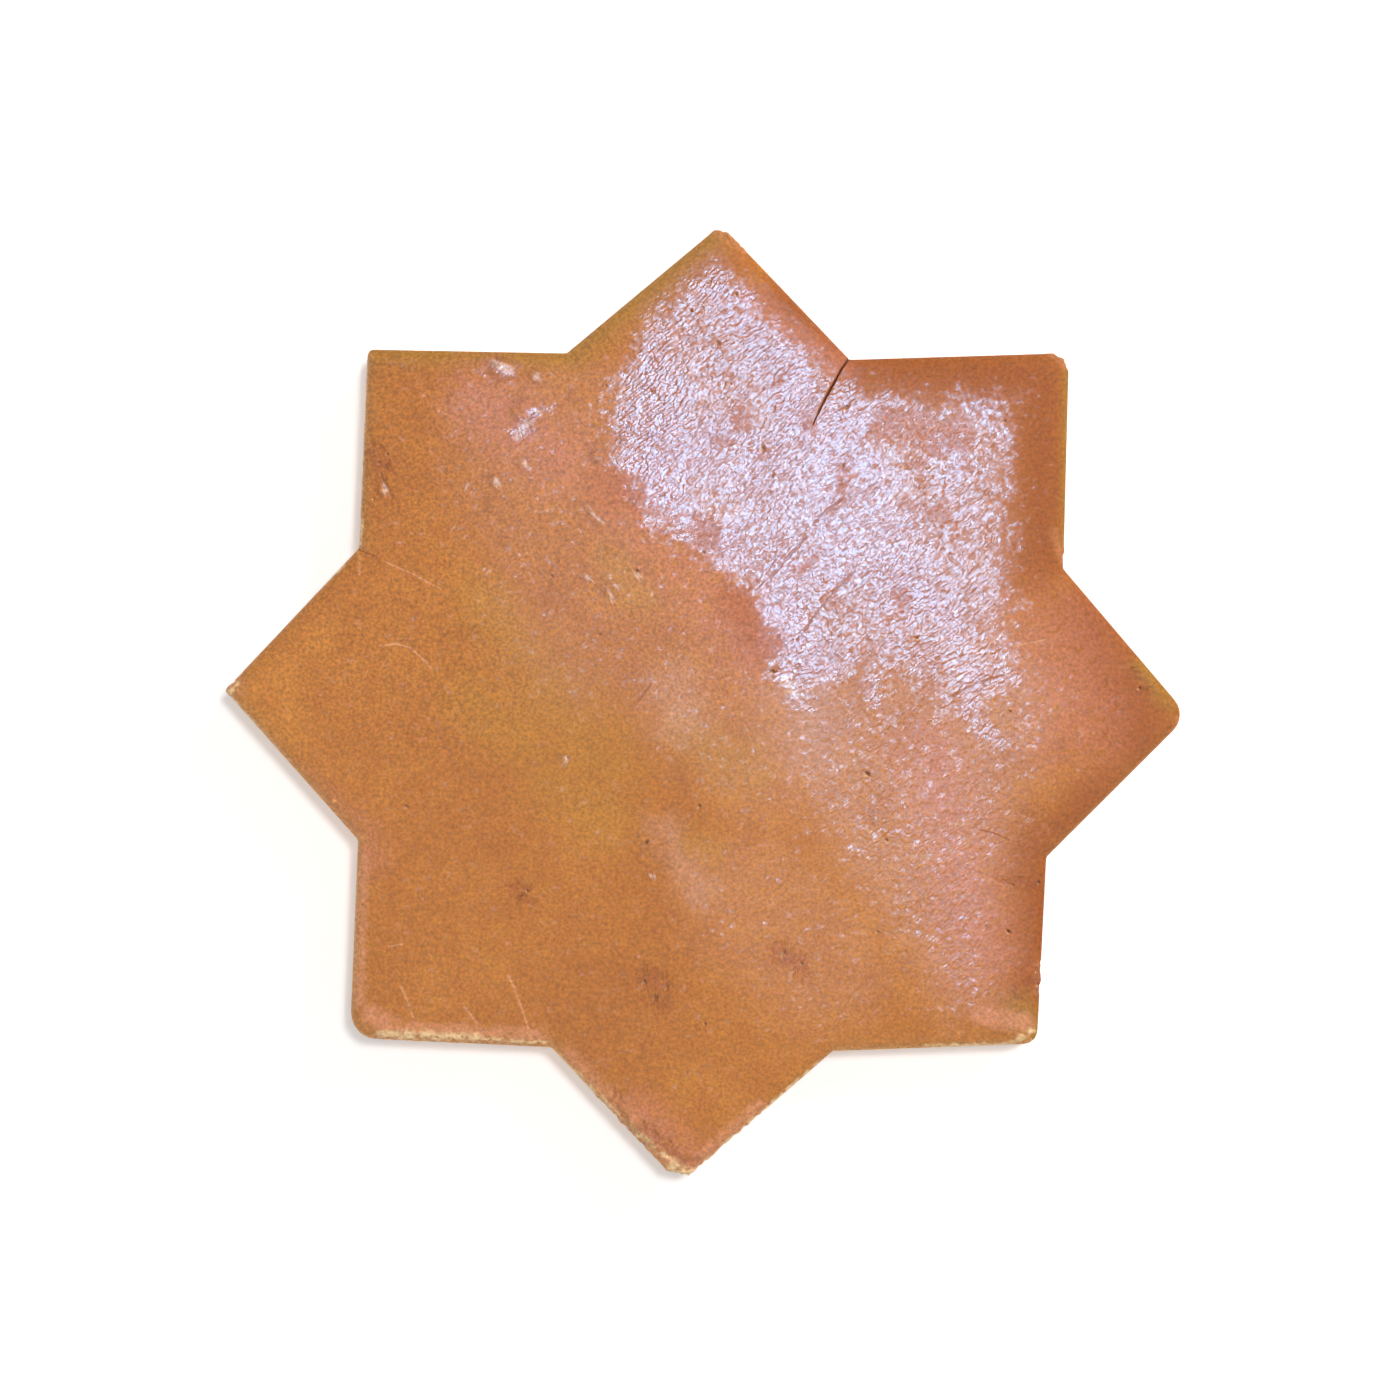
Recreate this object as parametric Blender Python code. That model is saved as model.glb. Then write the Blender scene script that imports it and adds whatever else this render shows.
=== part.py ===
"""An eight-pointed star floor tile of hand-pressed terracotta, one fired piece.

The star is two squares laid across each other, cut by hand from a slab of clay.
Its back is flat, its wall leans in a little towards the top, and its face is
pillowed: a rounded arris, then a shoulder that climbs to a nearly flat field.
Two tips were trimmed or chipped, and a drying crack runs in from one notch.
Lengths are in metres and angles in degrees. +Z is up, and the origin lies on the
back, under the middle of the tile's bounding box.
"""

import math
from collections import namedtuple

import bmesh
import bpy
from mathutils import Matrix, Vector
from mathutils.geometry import delaunay_2d_cdt

MM = 0.001

# The star that the cutter is set to, middle to tip and middle to notch
TIP_REACH = 103.8 * MM
NOTCH_REACH = 80.4 * MM
NOTCH_ROUND = 0.7 * MM

# The section through the edge
THICKNESS = 18.0 * MM
BED_CHAMFER = 0.8 * MM
WALL_LEAN_DEG = 2.5
ARRIS_RADIUS = 2.2 * MM
SHOULDER_DROP = 1.1 * MM
SHOULDER_WIDTH = 8.0 * MM

# The maker leaned on one side of the tile, so the shoulder is widest there
SHOULDER_SWAY = 0.4
SHOULDER_WIDEST_DEG = 0.0

# Shallow waves that the maker's palm left in the field
WAVE_HEIGHT = 0.10 * MM
WAVE_LENGTH = 62.0 * MM
WAVE_LEAN = 0.3
WAVE_CROSS = 0.8
WAVE_FADE = 9.0 * MM

# A tip's contour gets rounder as the shoulder climbs away from the edge
SMALLEST_ROUND = 0.4 * MM
CONTOUR_ROUNDING = 0.35

# The drying crack opens at one notch, deep there and shallow at its inner end
CRACK_NOTCH = 0
CRACK_BEARING_DEG = 244.0
CRACK_LENGTH = 16.0 * MM
CRACK_WIDTH = 0.9 * MM
CRACK_DEPTH = 8.0 * MM
CRACK_END_WIDTH = 0.4 * MM
CRACK_END_DEPTH = 1.0 * MM
CRACK_OVERRUN = 1.5 * MM

# How finely the solid is cut into flat facets
EDGE_STEPS = 7
ROUND_STEPS = 6
NOTCH_STEPS = 2
ARRIS_STEPS = 4
SHOULDER_STEPS = 4
FIELD_PITCH = 9.0 * MM
MERGE = 0.01 * MM
SHARP_ANGLE_DEG = 35.0

# Fired clay, as a Principled material
CLAY_COLOUR = (0.56, 0.20, 0.065, 1.0)
CLAY_ROUGHNESS = 0.42

# One corner of the star as the hand left it: how far it is turned from its even
# place, how far it stands past (+) or short of (-) its reach, and its rounding
Corner = namedtuple("Corner", "turn past rounding")

# A blunt tip: which tip it is, how much of the sharp point is gone, and how far
# the cut is turned from square, anticlockwise
Blunt = namedtuple("Blunt", "tip gone turn")

# Clockwise from the north tip, as seen from above
TIPS = [
    Corner(-0.2, -2.1 * MM, 0.6 * MM),
    Corner(0.3, 3.6 * MM, 4.5 * MM),
    Corner(-0.3, -0.6 * MM, 5.5 * MM),
    Corner(0.5, -1.7 * MM, 3.8 * MM),
    Corner(-1.6, 0.0 * MM, 1.2 * MM),
    Corner(0.1, 1.3 * MM, 6.3 * MM),
    Corner(0.5, -0.9 * MM, 1.2 * MM),
    Corner(0.6, 0.4 * MM, 2.0 * MM),
]
NOTCHES = [
    Corner(1.2, -1.4 * MM, NOTCH_ROUND),
    Corner(-0.8, 1.0 * MM, NOTCH_ROUND),
    Corner(-0.7, -0.2 * MM, NOTCH_ROUND),
    Corner(-1.1, -0.5 * MM, NOTCH_ROUND),
    Corner(0.1, 1.0 * MM, NOTCH_ROUND),
    Corner(1.0, -0.1 * MM, NOTCH_ROUND),
    Corner(0.5, 0.6 * MM, NOTCH_ROUND),
    Corner(1.0, -0.5 * MM, NOTCH_ROUND),
]
BLUNT_TIPS = [
    Blunt(tip=0, gone=1.6 * MM, turn=-6.0),
    Blunt(tip=4, gone=2.5 * MM, turn=-10.0),
]


def on_bearing(reach, degrees):
    """The point at that reach from the middle, anticlockwise from +X."""
    angle = math.radians(degrees)
    return Vector((reach * math.cos(angle), reach * math.sin(angle)))


def star_corners():
    """The star's sixteen corners before any is rounded, as (point, rounding), clockwise."""
    step = 360.0 / len(TIPS)
    corners = []
    for index, (tip, notch) in enumerate(zip(TIPS, NOTCHES)):
        bearing = 90.0 - index * step
        corners.append((on_bearing(TIP_REACH + tip.past, bearing + tip.turn), tip.rounding))
        bearing -= step / 2
        corners.append((on_bearing(NOTCH_REACH + notch.past, bearing + notch.turn), notch.rounding))
    return corners


def inward(direction):
    """The unit normal that points into the tile, for an edge walked clockwise."""
    return Vector((direction.y, -direction.x)).normalized()


def inset_corner(before, place, after, inset):
    """Where a corner goes when both of its edges move in by the inset."""
    normal_in = inward(place - before)
    normal_out = inward(after - place)
    mitre = (normal_in + normal_out).normalized()
    return place + mitre * (inset / mitre.dot(normal_in))


def rounded(before, place, after, radius, steps):
    """The arc that rounds a corner, as steps + 1 points from edge to edge."""
    to_before = (before - place).normalized()
    to_after = (after - place).normalized()
    half = to_before.angle(to_after) / 2
    centre = place + (to_before + to_after).normalized() * (radius / math.sin(half))
    start = place + to_before * (radius / math.tan(half)) - centre
    sweep = math.copysign(math.pi - 2 * half, to_after.cross(to_before))
    points = []
    for k in range(steps + 1):
        cos, sin = math.cos(sweep * k / steps), math.sin(sweep * k / steps)
        points.append(centre + Vector((start.x * cos - start.y * sin, start.x * sin + start.y * cos)))
    return points


def star_outline(corners, inset):
    """The star moved in by the inset, each corner an arc and each edge in equal steps.

    Every inset gives the same number of points, so two outlines join face by face.
    """
    count = len(corners)
    places = [place for place, _ in corners]
    moved = [inset_corner(places[i - 1], places[i], places[(i + 1) % count], inset) for i in range(count)]
    arcs = []
    for i, (_, rounding) in enumerate(corners):
        before, place, after = moved[i - 1], moved[i], moved[(i + 1) % count]
        if (place - before).cross(after - place) < 0:
            radius = max(rounding - inset, SMALLEST_ROUND + CONTOUR_ROUNDING * inset)
            arcs.append(rounded(before, place, after, radius, ROUND_STEPS))
        else:
            arcs.append(rounded(before, place, after, rounding + inset, NOTCH_STEPS))
    outline = []
    for i, arc in enumerate(arcs):
        outline.extend(arc)
        start, end = arc[-1], arcs[(i + 1) % count][0]
        outline.extend(start.lerp(end, k / EDGE_STEPS) for k in range(1, EDGE_STEPS))
    return outline


def wall_inset(height):
    """How far the wall has leaned in at a height above the back."""
    return (height - BED_CHAMFER) * math.tan(math.radians(WALL_LEAN_DEG))


def wall_height():
    """Where the wall ends and the arris begins."""
    return THICKNESS - SHOULDER_DROP - ARRIS_RADIUS


def shoulder_width(point):
    """The shoulder's width on the bearing of that point."""
    bearing = math.atan2(point.y, point.x) - math.radians(SHOULDER_WIDEST_DEG)
    return SHOULDER_WIDTH * (1 + SHOULDER_SWAY * math.cos(bearing))


def face_height(point, inside):
    """The height of the face at a point that lies that far inside the wall's top."""
    short_of_field = max(0.0, 1 - inside / shoulder_width(point))
    short_of_flat = max(0.0, 1 - inside / ARRIS_RADIUS)
    shoulder = SHOULDER_DROP * short_of_field**2
    arris = ARRIS_RADIUS * (1 - math.sqrt(1 - short_of_flat**2))
    turn = 2 * math.pi / WAVE_LENGTH
    wave = math.sin(turn * (point.x + WAVE_LEAN * point.y)) * math.cos(WAVE_CROSS * turn * point.y)
    return THICKNESS - shoulder - arris + WAVE_HEIGHT * (wave - 1) * min(1.0, inside / WAVE_FADE)


def insets_across_face():
    """How far inside the wall's top each contour of the face lies, from the edge inwards."""
    beyond = SHOULDER_WIDTH * (1 + SHOULDER_SWAY) - ARRIS_RADIUS
    quarter = math.pi / 2
    arris = [ARRIS_RADIUS * (1 - math.cos(quarter * k / ARRIS_STEPS)) for k in range(1, ARRIS_STEPS + 1)]
    shoulder = [ARRIS_RADIUS + beyond * k / SHOULDER_STEPS for k in range(1, SHOULDER_STEPS + 1)]
    return arris + shoulder


def add_ring(mesh, outline, heights):
    return [mesh.verts.new((point.x, point.y, height)) for point, height in zip(outline, heights)]


def join_rings(mesh, lower, upper):
    """A strip of quads between two rings that have the same number of points."""
    count = len(lower)
    for k in range(count):
        after = (k + 1) % count
        mesh.faces.new((lower[after], lower[k], upper[k], upper[after]))


def distance_to_outline(point, outline):
    """How far a point is from the nearest edge of an outline."""
    nearest = math.inf
    for index, end in enumerate(outline):
        start = outline[index - 1]
        edge = end - start
        share = min(1.0, max(0.0, (point - start).dot(edge) / edge.length_squared))
        nearest = min(nearest, (point - start - edge * share).length)
    return nearest


def inside_outline(point, outline):
    """True where a line towards +X leaves the outline an odd number of times."""
    crossings = 0
    for index, end in enumerate(outline):
        start = outline[index - 1]
        if (start.y > point.y) != (end.y > point.y):
            share = (point.y - start.y) / (end.y - start.y)
            crossings += start.x + share * (end.x - start.x) > point.x
    return crossings % 2 == 1


def field_points(outline):
    """A triangular lattice of points that fills the outline, clear of its edge."""
    row_pitch = FIELD_PITCH * math.sqrt(3) / 2
    rows = math.ceil(TIP_REACH / row_pitch)
    columns = math.ceil(TIP_REACH / FIELD_PITCH)
    points = []
    for row in range(-rows, rows + 1):
        for column in range(-columns, columns + 1):
            point = Vector(((column + 0.5 * (row % 2)) * FIELD_PITCH, row * row_pitch))
            if inside_outline(point, outline) and distance_to_outline(point, outline) > FIELD_PITCH / 2:
                points.append(point)
    return points


def fill_ring(mesh, ring, inner):
    """Triangles across a ring, through the inner vertices if there are any."""
    verts = ring + inner
    places = [vert.co.xy for vert in verts]
    _, _, triangles, originals, _, _ = delaunay_2d_cdt(places, [], [range(len(ring))], 1, MERGE)
    for triangle in triangles:
        mesh.faces.new([verts[originals[k][0]] for k in triangle])


def trim_blunt_tips(mesh, corners):
    """Cuts each blunt tip with an upright plane and closes the cut."""
    for blunt in BLUNT_TIPS:
        before, sharp, after = [corners[2 * blunt.tip + k][0] for k in (-1, 0, 1)]
        outwards = ((sharp - before).normalized() + (sharp - after).normalized()).normalized()
        place = sharp - outwards * blunt.gone
        outwards.rotate(Matrix.Rotation(math.radians(blunt.turn), 2))
        cut = bmesh.ops.bisect_plane(
            mesh,
            geom=mesh.verts[:] + mesh.edges[:] + mesh.faces[:],
            plane_co=place.to_3d(),
            plane_no=outwards.to_3d(),
            clear_outer=True,
        )
        rim = [part for part in cut["geom_cut"] if isinstance(part, bmesh.types.BMEdge)]
        bmesh.ops.contextual_create(mesh, geom=rim)


def tile_mesh(corners):
    """The tile as a loft: one section carried round the star, closed by its back and its field."""
    mesh = bmesh.new()
    wall_top = wall_height()
    foot = star_outline(corners, 0.0)
    bed_ring = add_ring(mesh, star_outline(corners, BED_CHAMFER), [0.0] * len(foot))
    foot_ring = add_ring(mesh, foot, [BED_CHAMFER] * len(foot))
    ring = add_ring(mesh, star_outline(corners, wall_inset(wall_top)), [wall_top] * len(foot))
    fill_ring(mesh, bed_ring, [])
    join_rings(mesh, bed_ring, foot_ring)
    join_rings(mesh, foot_ring, ring)
    for inside in insets_across_face():
        outline = star_outline(corners, wall_inset(wall_top) + inside)
        contour = add_ring(mesh, outline, [face_height(point, inside) for point in outline])
        join_rings(mesh, ring, contour)
        ring = contour
    field = field_points(outline)
    fill_ring(mesh, ring, add_ring(mesh, field, [face_height(point, TIP_REACH) for point in field]))
    trim_blunt_tips(mesh, corners)
    bmesh.ops.recalc_face_normals(mesh, faces=mesh.faces[:])
    return mesh


def clay_material():
    material = bpy.data.materials.new("fired_clay")
    material.use_nodes = True
    shader = material.node_tree.nodes["Principled BSDF"]
    shader.inputs["Base Color"].default_value = CLAY_COLOUR
    shader.inputs["Roughness"].default_value = CLAY_ROUGHNESS
    shader.inputs["Metallic"].default_value = 0.0
    material.diffuse_color = CLAY_COLOUR
    return material


def crack_cutter(corners):
    """A wedge with its edge downwards that runs in from the notch and stands clear of the face."""
    mouth = corners[2 * CRACK_NOTCH + 1][0]
    along = on_bearing(1.0, CRACK_BEARING_DEG)
    across = Vector((-along.y, along.x))
    mesh = bmesh.new()
    for run, depth, width in (
        (-CRACK_OVERRUN, CRACK_DEPTH, CRACK_WIDTH),
        (CRACK_LENGTH, CRACK_END_DEPTH, CRACK_END_WIDTH),
    ):
        middle = mouth + along * run
        above = 1 + CRACK_OVERRUN / depth
        mesh.verts.new((middle.x, middle.y, THICKNESS - depth))
        for side in (-1, 1):
            rim = middle + across * (side * width / 2 * above)
            mesh.verts.new((rim.x, rim.y, THICKNESS + CRACK_OVERRUN))
    bmesh.ops.convex_hull(mesh, input=mesh.verts[:])
    bmesh.ops.recalc_face_normals(mesh, faces=mesh.faces[:])
    return mesh


def add_object(name, mesh):
    data = bpy.data.meshes.new(name)
    mesh.to_mesh(data)
    mesh.free()
    made = bpy.data.objects.new(name, data)
    bpy.context.scene.collection.objects.link(made)
    return made


def box_middle(data):
    """The middle of a mesh's bounding box, as seen from above."""
    across = [vert.co.x for vert in data.vertices]
    along = [vert.co.y for vert in data.vertices]
    return Vector((min(across) + max(across), min(along) + max(along), 0.0)) / 2


def cut_crack(tile, corners):
    cutter = add_object("crack_cutter", crack_cutter(corners))
    cutter.parent = tile
    cutter.hide_render = True
    cutter.display_type = "WIRE"
    cut = tile.modifiers.new("drying_crack", "BOOLEAN")
    cut.operation = "DIFFERENCE"
    cut.object = cutter


def main():
    for old in list(bpy.data.objects):
        bpy.data.objects.remove(old, do_unlink=True)
    corners = star_corners()
    tile = add_object("star_tile", tile_mesh(corners))
    tile.location = -box_middle(tile.data)
    tile.data.materials.append(clay_material())
    tile.data.shade_smooth()
    tile.data.set_sharp_from_angle(angle=math.radians(SHARP_ANGLE_DEG))
    cut_crack(tile, corners)


main()
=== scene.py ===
# %% [markdown]
# # A star floor tile of hand-pressed terracotta
# The real tile is one slab of clay. It was pressed and smoothed by hand, cut to an eight-pointed
# star, fired at a low heat and sealed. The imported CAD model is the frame: it gives the true outline
# and the thickness. This script adds what the hand, the fire and the handling leave on such a tile:
# dents, grain, pits, scratches, a drying crack, crumbled tips, a mottled colour and a patchy shine.

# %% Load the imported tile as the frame
import math

import bpy
import numpy as np
from mathutils import Matrix, Vector


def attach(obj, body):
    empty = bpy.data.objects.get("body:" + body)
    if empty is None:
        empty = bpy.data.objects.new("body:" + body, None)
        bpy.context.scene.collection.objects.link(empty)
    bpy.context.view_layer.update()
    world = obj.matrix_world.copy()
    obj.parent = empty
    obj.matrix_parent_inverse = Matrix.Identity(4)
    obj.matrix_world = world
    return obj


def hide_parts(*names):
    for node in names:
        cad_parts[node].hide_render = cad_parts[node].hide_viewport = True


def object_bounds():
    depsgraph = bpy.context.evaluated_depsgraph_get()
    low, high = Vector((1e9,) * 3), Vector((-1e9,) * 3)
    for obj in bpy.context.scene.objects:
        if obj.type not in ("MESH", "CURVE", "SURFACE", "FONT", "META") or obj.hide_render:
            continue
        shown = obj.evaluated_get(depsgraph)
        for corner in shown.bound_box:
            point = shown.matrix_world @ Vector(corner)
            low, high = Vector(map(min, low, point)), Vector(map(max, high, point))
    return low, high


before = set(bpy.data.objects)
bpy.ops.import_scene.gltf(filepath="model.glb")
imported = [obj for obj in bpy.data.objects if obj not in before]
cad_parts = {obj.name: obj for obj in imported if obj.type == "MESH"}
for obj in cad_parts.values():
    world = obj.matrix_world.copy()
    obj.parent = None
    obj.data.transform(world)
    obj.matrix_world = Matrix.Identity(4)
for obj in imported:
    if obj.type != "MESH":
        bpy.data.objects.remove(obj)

MM = 0.001
cad_box = [list(corner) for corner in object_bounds()]
print("CAD box in mm:", [[round(value / MM, 2) for value in corner] for corner in cad_box])

# %% [markdown]
# ## The outline
# The tile's outline is widest just above its bed, where a small chamfer ends. All corners that the
# CAD mesh has at that level, put in order of their bearing, are that outline. Reading it from the
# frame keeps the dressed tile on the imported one, whatever size is changed there. The eight tips are
# the farthest corners in their sectors, and the eight notches are the nearest.

# %% Read the outline at the foot of the wall
FOOT_LEVEL = 0.8 * MM
LEVEL_SLACK = 0.01 * MM
POINTS_OF_STAR = 8
# In sectors, halfway from a tip's bearing to a notch's
HALFWAY = 0.25


def level_ring(node, level):
    """The corners that a CAD node has at one height, each once, in order of bearing."""
    flat = np.empty(len(node.data.vertices) * 3)
    node.data.vertices.foreach_get("co", flat)
    corners = flat.reshape(-1, 3)
    ring = corners[np.abs(corners[:, 2] - level) < LEVEL_SLACK, :2]
    ring = np.unique(np.round(ring / LEVEL_SLACK), axis=0) * LEVEL_SLACK
    return ring[np.argsort(np.arctan2(ring[:, 1], ring[:, 0]))]


foot = level_ring(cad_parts["star_tile"], FOOT_LEVEL)
sector = 2 * math.pi / POINTS_OF_STAR
bearing = np.arctan2(foot[:, 1], foot[:, 0])
reach = np.hypot(foot[:, 0], foot[:, 1])
from_tip = np.abs((bearing / sector + 0.5) % 1 - 0.5)
tip_order = np.round(bearing / sector).astype(int) % POINTS_OF_STAR
notch_order = np.floor(bearing / sector).astype(int) % POINTS_OF_STAR
near_tips = np.where(from_tip < HALFWAY, reach, 0)
near_notches = np.where(from_tip > HALFWAY, reach, 1)
tips = [np.argmax(np.where(tip_order == k, near_tips, 0)) for k in range(POINTS_OF_STAR)]
notches = [np.argmin(np.where(notch_order == k, near_notches, 1)) for k in range(POINTS_OF_STAR)]
middle = foot[tips + notches].mean(axis=0)
print(len(foot), "corners round the foot, star middle at", np.round(middle / MM, 2), "mm")

# %% [markdown]
# ## Where the photograph sees things
# Marks are placed by their pixel in the photograph, so one function turns pixels into places on the
# tile. The tile lies turned by 1.6 degrees in the picture, its width there is 954 pixels, and the
# middle of its box is at pixel 703, 703.

# %% Turn pixels into places on the tile
PHOTO_SIDE = 1400
PHOTO_TILE_WIDTH = 954
PHOTO_MIDDLE = np.array([703.0, 703.0])
PHOTO_TURN = math.radians(1.6)
# How far the wall leans in from its foot to its top
WALL_INSET = 0.607 * MM


def turned(points, angle):
    """Points turned anticlockwise about the origin."""
    cos, sin = math.cos(angle), math.sin(angle)
    return points @ np.array([[cos, sin], [-sin, cos]])


photo_width = np.ptp(turned(foot, -PHOTO_TURN)[:, 0]) - 2 * WALL_INSET
PIXEL = photo_width / PHOTO_TILE_WIDTH


def on_tile(pixels):
    """Places in metres for photograph pixels: from the tile's middle, y turned up, then turned back."""
    away = (np.asarray(pixels, float) - PHOTO_MIDDLE) * [PIXEL, -PIXEL]
    return turned(away, PHOTO_TURN)


print("one pixel is", round(PIXEL / MM, 4), "mm")

# %% [markdown]
# ## Camera
# The photograph looks straight down. An 85 mm lens hangs at the height where the photograph's frame
# covers the right width at the level of the tile's rolled edge, which is what shows as its outline.

# %% Hang the camera over the tile
LENS = 85.0
SENSOR = 36.0
RIM_LEVEL = 14.7 * MM
CLIP_START, CLIP_END = 0.05, 20.0

lens_data = bpy.data.cameras.new("overhead")
lens_data.lens = LENS
lens_data.sensor_width = SENSOR
lens_data.clip_start = CLIP_START
lens_data.clip_end = CLIP_END
camera = bpy.data.objects.new("overhead", lens_data)
bpy.context.scene.collection.objects.link(camera)
aim = on_tile([[PHOTO_SIDE / 2, PHOTO_SIDE / 2]])[0]
camera_height = RIM_LEVEL + PHOTO_SIDE * PIXEL * LENS / SENSOR
camera.location = (aim[0], aim[1], camera_height)
camera.rotation_euler = (0.0, 0.0, PHOTO_TURN)
bpy.context.scene.camera = camera
print("camera at", round(camera_height, 4), "m")

# %% [markdown]
# ## A grid that fits a star
# A star has no grid of its own, but it falls into eight kites: middle, notch, tip, notch. A Coons
# patch fills a kite from its four sides, so its grid is a function of two parameters, and next
# kites share their side's points. The lines crowd towards the edge, where the clay rolls over, and a
# little towards the spokes, because the crack starts at a notch.

# %% Lay out the sides of the kites
KITE_CELLS = 96
RIM_CROWDING = 5.0
RIM_CROWD_SHARE = 0.02
SPOKE_CROWDING = 3.0
SPOKE_CROWD_SHARE = 0.01
BED_INSET = 0.8 * MM
FINE_STEPS = 20000


def crowded_steps(cells):
    """Parameters from 0 to 1 whose density is one plus an exponential crowd at each end."""
    fine = np.linspace(0, 1, FINE_STEPS + 1)
    density = 1 + SPOKE_CROWDING * np.exp(-fine / SPOKE_CROWD_SHARE)
    density += RIM_CROWDING * np.exp((fine - 1) / RIM_CROWD_SHARE)
    share = np.concatenate([[0], np.cumsum(density[1:] + density[:-1])])
    return np.interp(np.linspace(0, 1, cells + 1), share / share[-1], fine)


def inset_ring(ring, distance):
    """A closed line moved inwards: each corner goes along its mitre, so all sides stay parallel."""
    run = np.roll(ring, -1, axis=0) - ring
    run /= np.linalg.norm(run, axis=1, keepdims=True)
    after = np.stack([-run[:, 1], run[:, 0]], axis=1)
    before = np.roll(after, 1, axis=0)
    mitre = (before + after) / (1 + (before * after).sum(axis=1, keepdims=True))
    return ring + distance * mitre


def side_between(ring, start, end):
    """The stretch of a closed line from one corner to another, going anticlockwise."""
    return ring[np.arange(start, end + 1 if end > start else end + 1 + len(ring)) % len(ring)]


def along(side, fractions):
    """Points of an open line at these fractions of its length."""
    lengths = np.linalg.norm(np.diff(side, axis=0), axis=1)
    marks = np.concatenate([[0], np.cumsum(lengths)]) / lengths.sum()
    return np.stack([np.interp(fractions, marks, side[:, axis]) for axis in (0, 1)], axis=-1)


steps = crowded_steps(KITE_CELLS)
wall_top = inset_ring(foot, WALL_INSET)
bed_edge = inset_ring(foot, BED_INSET)


def kite_sides(ring, k):
    """The two rim sides of kite k, each running from a notch to the tip between them."""
    first = side_between(ring, notches[k - 1], tips[k])
    last = side_between(ring, tips[k], notches[k])[::-1]
    return along(first, steps), along(last, steps)


# %% Fill the kites
def kite_grid(k):
    """Coons patch: both pairs of opposite sides blended, less the blend of the four corners."""
    first, last = kite_sides(wall_top, k)
    s, t = steps[:, None, None], steps[None, :, None]
    first_spoke = middle + steps[:, None] * (first[0] - middle)
    last_spoke = middle + steps[:, None] * (last[0] - middle)
    across = (1 - t) * first_spoke[:, None] + t * last[:, None]
    along_it = (1 - s) * last_spoke[None, :] + s * first[None, :]
    corners = (1 - s) * ((1 - t) * middle + t * last[0]) + s * ((1 - t) * first[0] + t * first[-1])
    return across + along_it - corners


kites = np.stack([kite_grid(k) for k in range(POINTS_OF_STAR)])
kites[:, 0, 0] = middle
for k in range(POINTS_OF_STAR):
    kites[(k + 1) % POINTS_OF_STAR, :, 0] = kites[k, 0, :]
    kites[k, -1, -1] = wall_top[tips[k]]
plan, place_of = np.unique(kites.reshape(-1, 2), axis=0, return_inverse=True)
place_of = place_of.reshape(kites.shape[:3])
face_quads = np.stack(
    [place_of[:, :-1, :-1], place_of[:, 1:, :-1], place_of[:, 1:, 1:], place_of[:, :-1, 1:]], axis=-1
).reshape(-1, 4)
rim_runs = [np.r_[place_of[k, -1, :-1], place_of[k, :0:-1, -1]] for k in range(POINTS_OF_STAR)]
rim = np.concatenate(rim_runs)
print(len(plan), "places on the face,", len(rim), "round its rim")

# %% [markdown]
# ## How far in from the edge
# The section of the edge is a function of the distance inside the wall's top line. The nearest of
# the sixteen sides gives that distance. At a tip two sides are equally near, which would leave a
# sharp hip, so a soft minimum rounds it, and rounds it more the farther in it runs.

# %% Measure the distance inside the edge
CONTOUR_ROUNDING = 0.30
# Keeps a length that something is divided by from being nothing
TINY = 1e-9


def nearest_on(points, path):
    """For each point, the vector to the nearest place on a path, and the share of the path up to there."""
    path = np.asarray(path, float)
    best = np.full(len(points), np.inf)
    offset, travel = np.zeros_like(points), np.zeros(len(points))
    lengths = np.linalg.norm(np.diff(path, axis=0), axis=1)
    starts = np.concatenate([[0], np.cumsum(lengths)])
    for start, end, length, before in zip(path, path[1:], lengths, starts):
        share = np.clip((points - start) @ (end - start) / length**2, 0, 1)
        gap = start + share[:, None] * (end - start) - points
        nearer = (gap**2).sum(axis=1) < best
        best = np.where(nearer, (gap**2).sum(axis=1), best)
        offset = np.where(nearer[:, None], gap, offset)
        travel = np.where(nearer, (before + share * length) / starts[-1], travel)
    return offset, travel


side_ends = sorted(tips + notches)
sides = [side_between(wall_top, a, b) for a, b in zip(side_ends, side_ends[1:] + side_ends[:1])]
side_runs = np.stack([side[-1] - side[0] for side in sides])
side_facings = np.arctan2(-side_runs[:, 0], side_runs[:, 1])


def side_gaps(points):
    """The distance from each point to each of the sixteen sides, one row for each side."""
    return np.stack([np.linalg.norm(nearest_on(points, side)[0], axis=1) for side in sides])


def soft_inside(points):
    """Distance to the nearest side, with a soft minimum over all sides whose softness grows inwards."""
    gaps = side_gaps(points)
    nearest = gaps.min(axis=0)
    softness = CONTOUR_ROUNDING * nearest + TINY
    crowd = np.exp((nearest - gaps) / softness).sum(axis=0)
    return np.maximum(0, nearest - softness * np.log(crowd))


first_inside = soft_inside(plan)
print("deepest inside:", round(first_inside.max() / MM, 1), "mm")

# %% [markdown]
# ## The marks of one tile
# These are this tile's own marks, placed by their pixels. A pit is a popped lime grain or a stone
# that came out, and a bead is one that stayed. Scratches are bright because they cut the seal.
# Incised lines were drawn in the soft clay. The drying crack opened at a notch, where the clay shrank
# from both sides.

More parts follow.
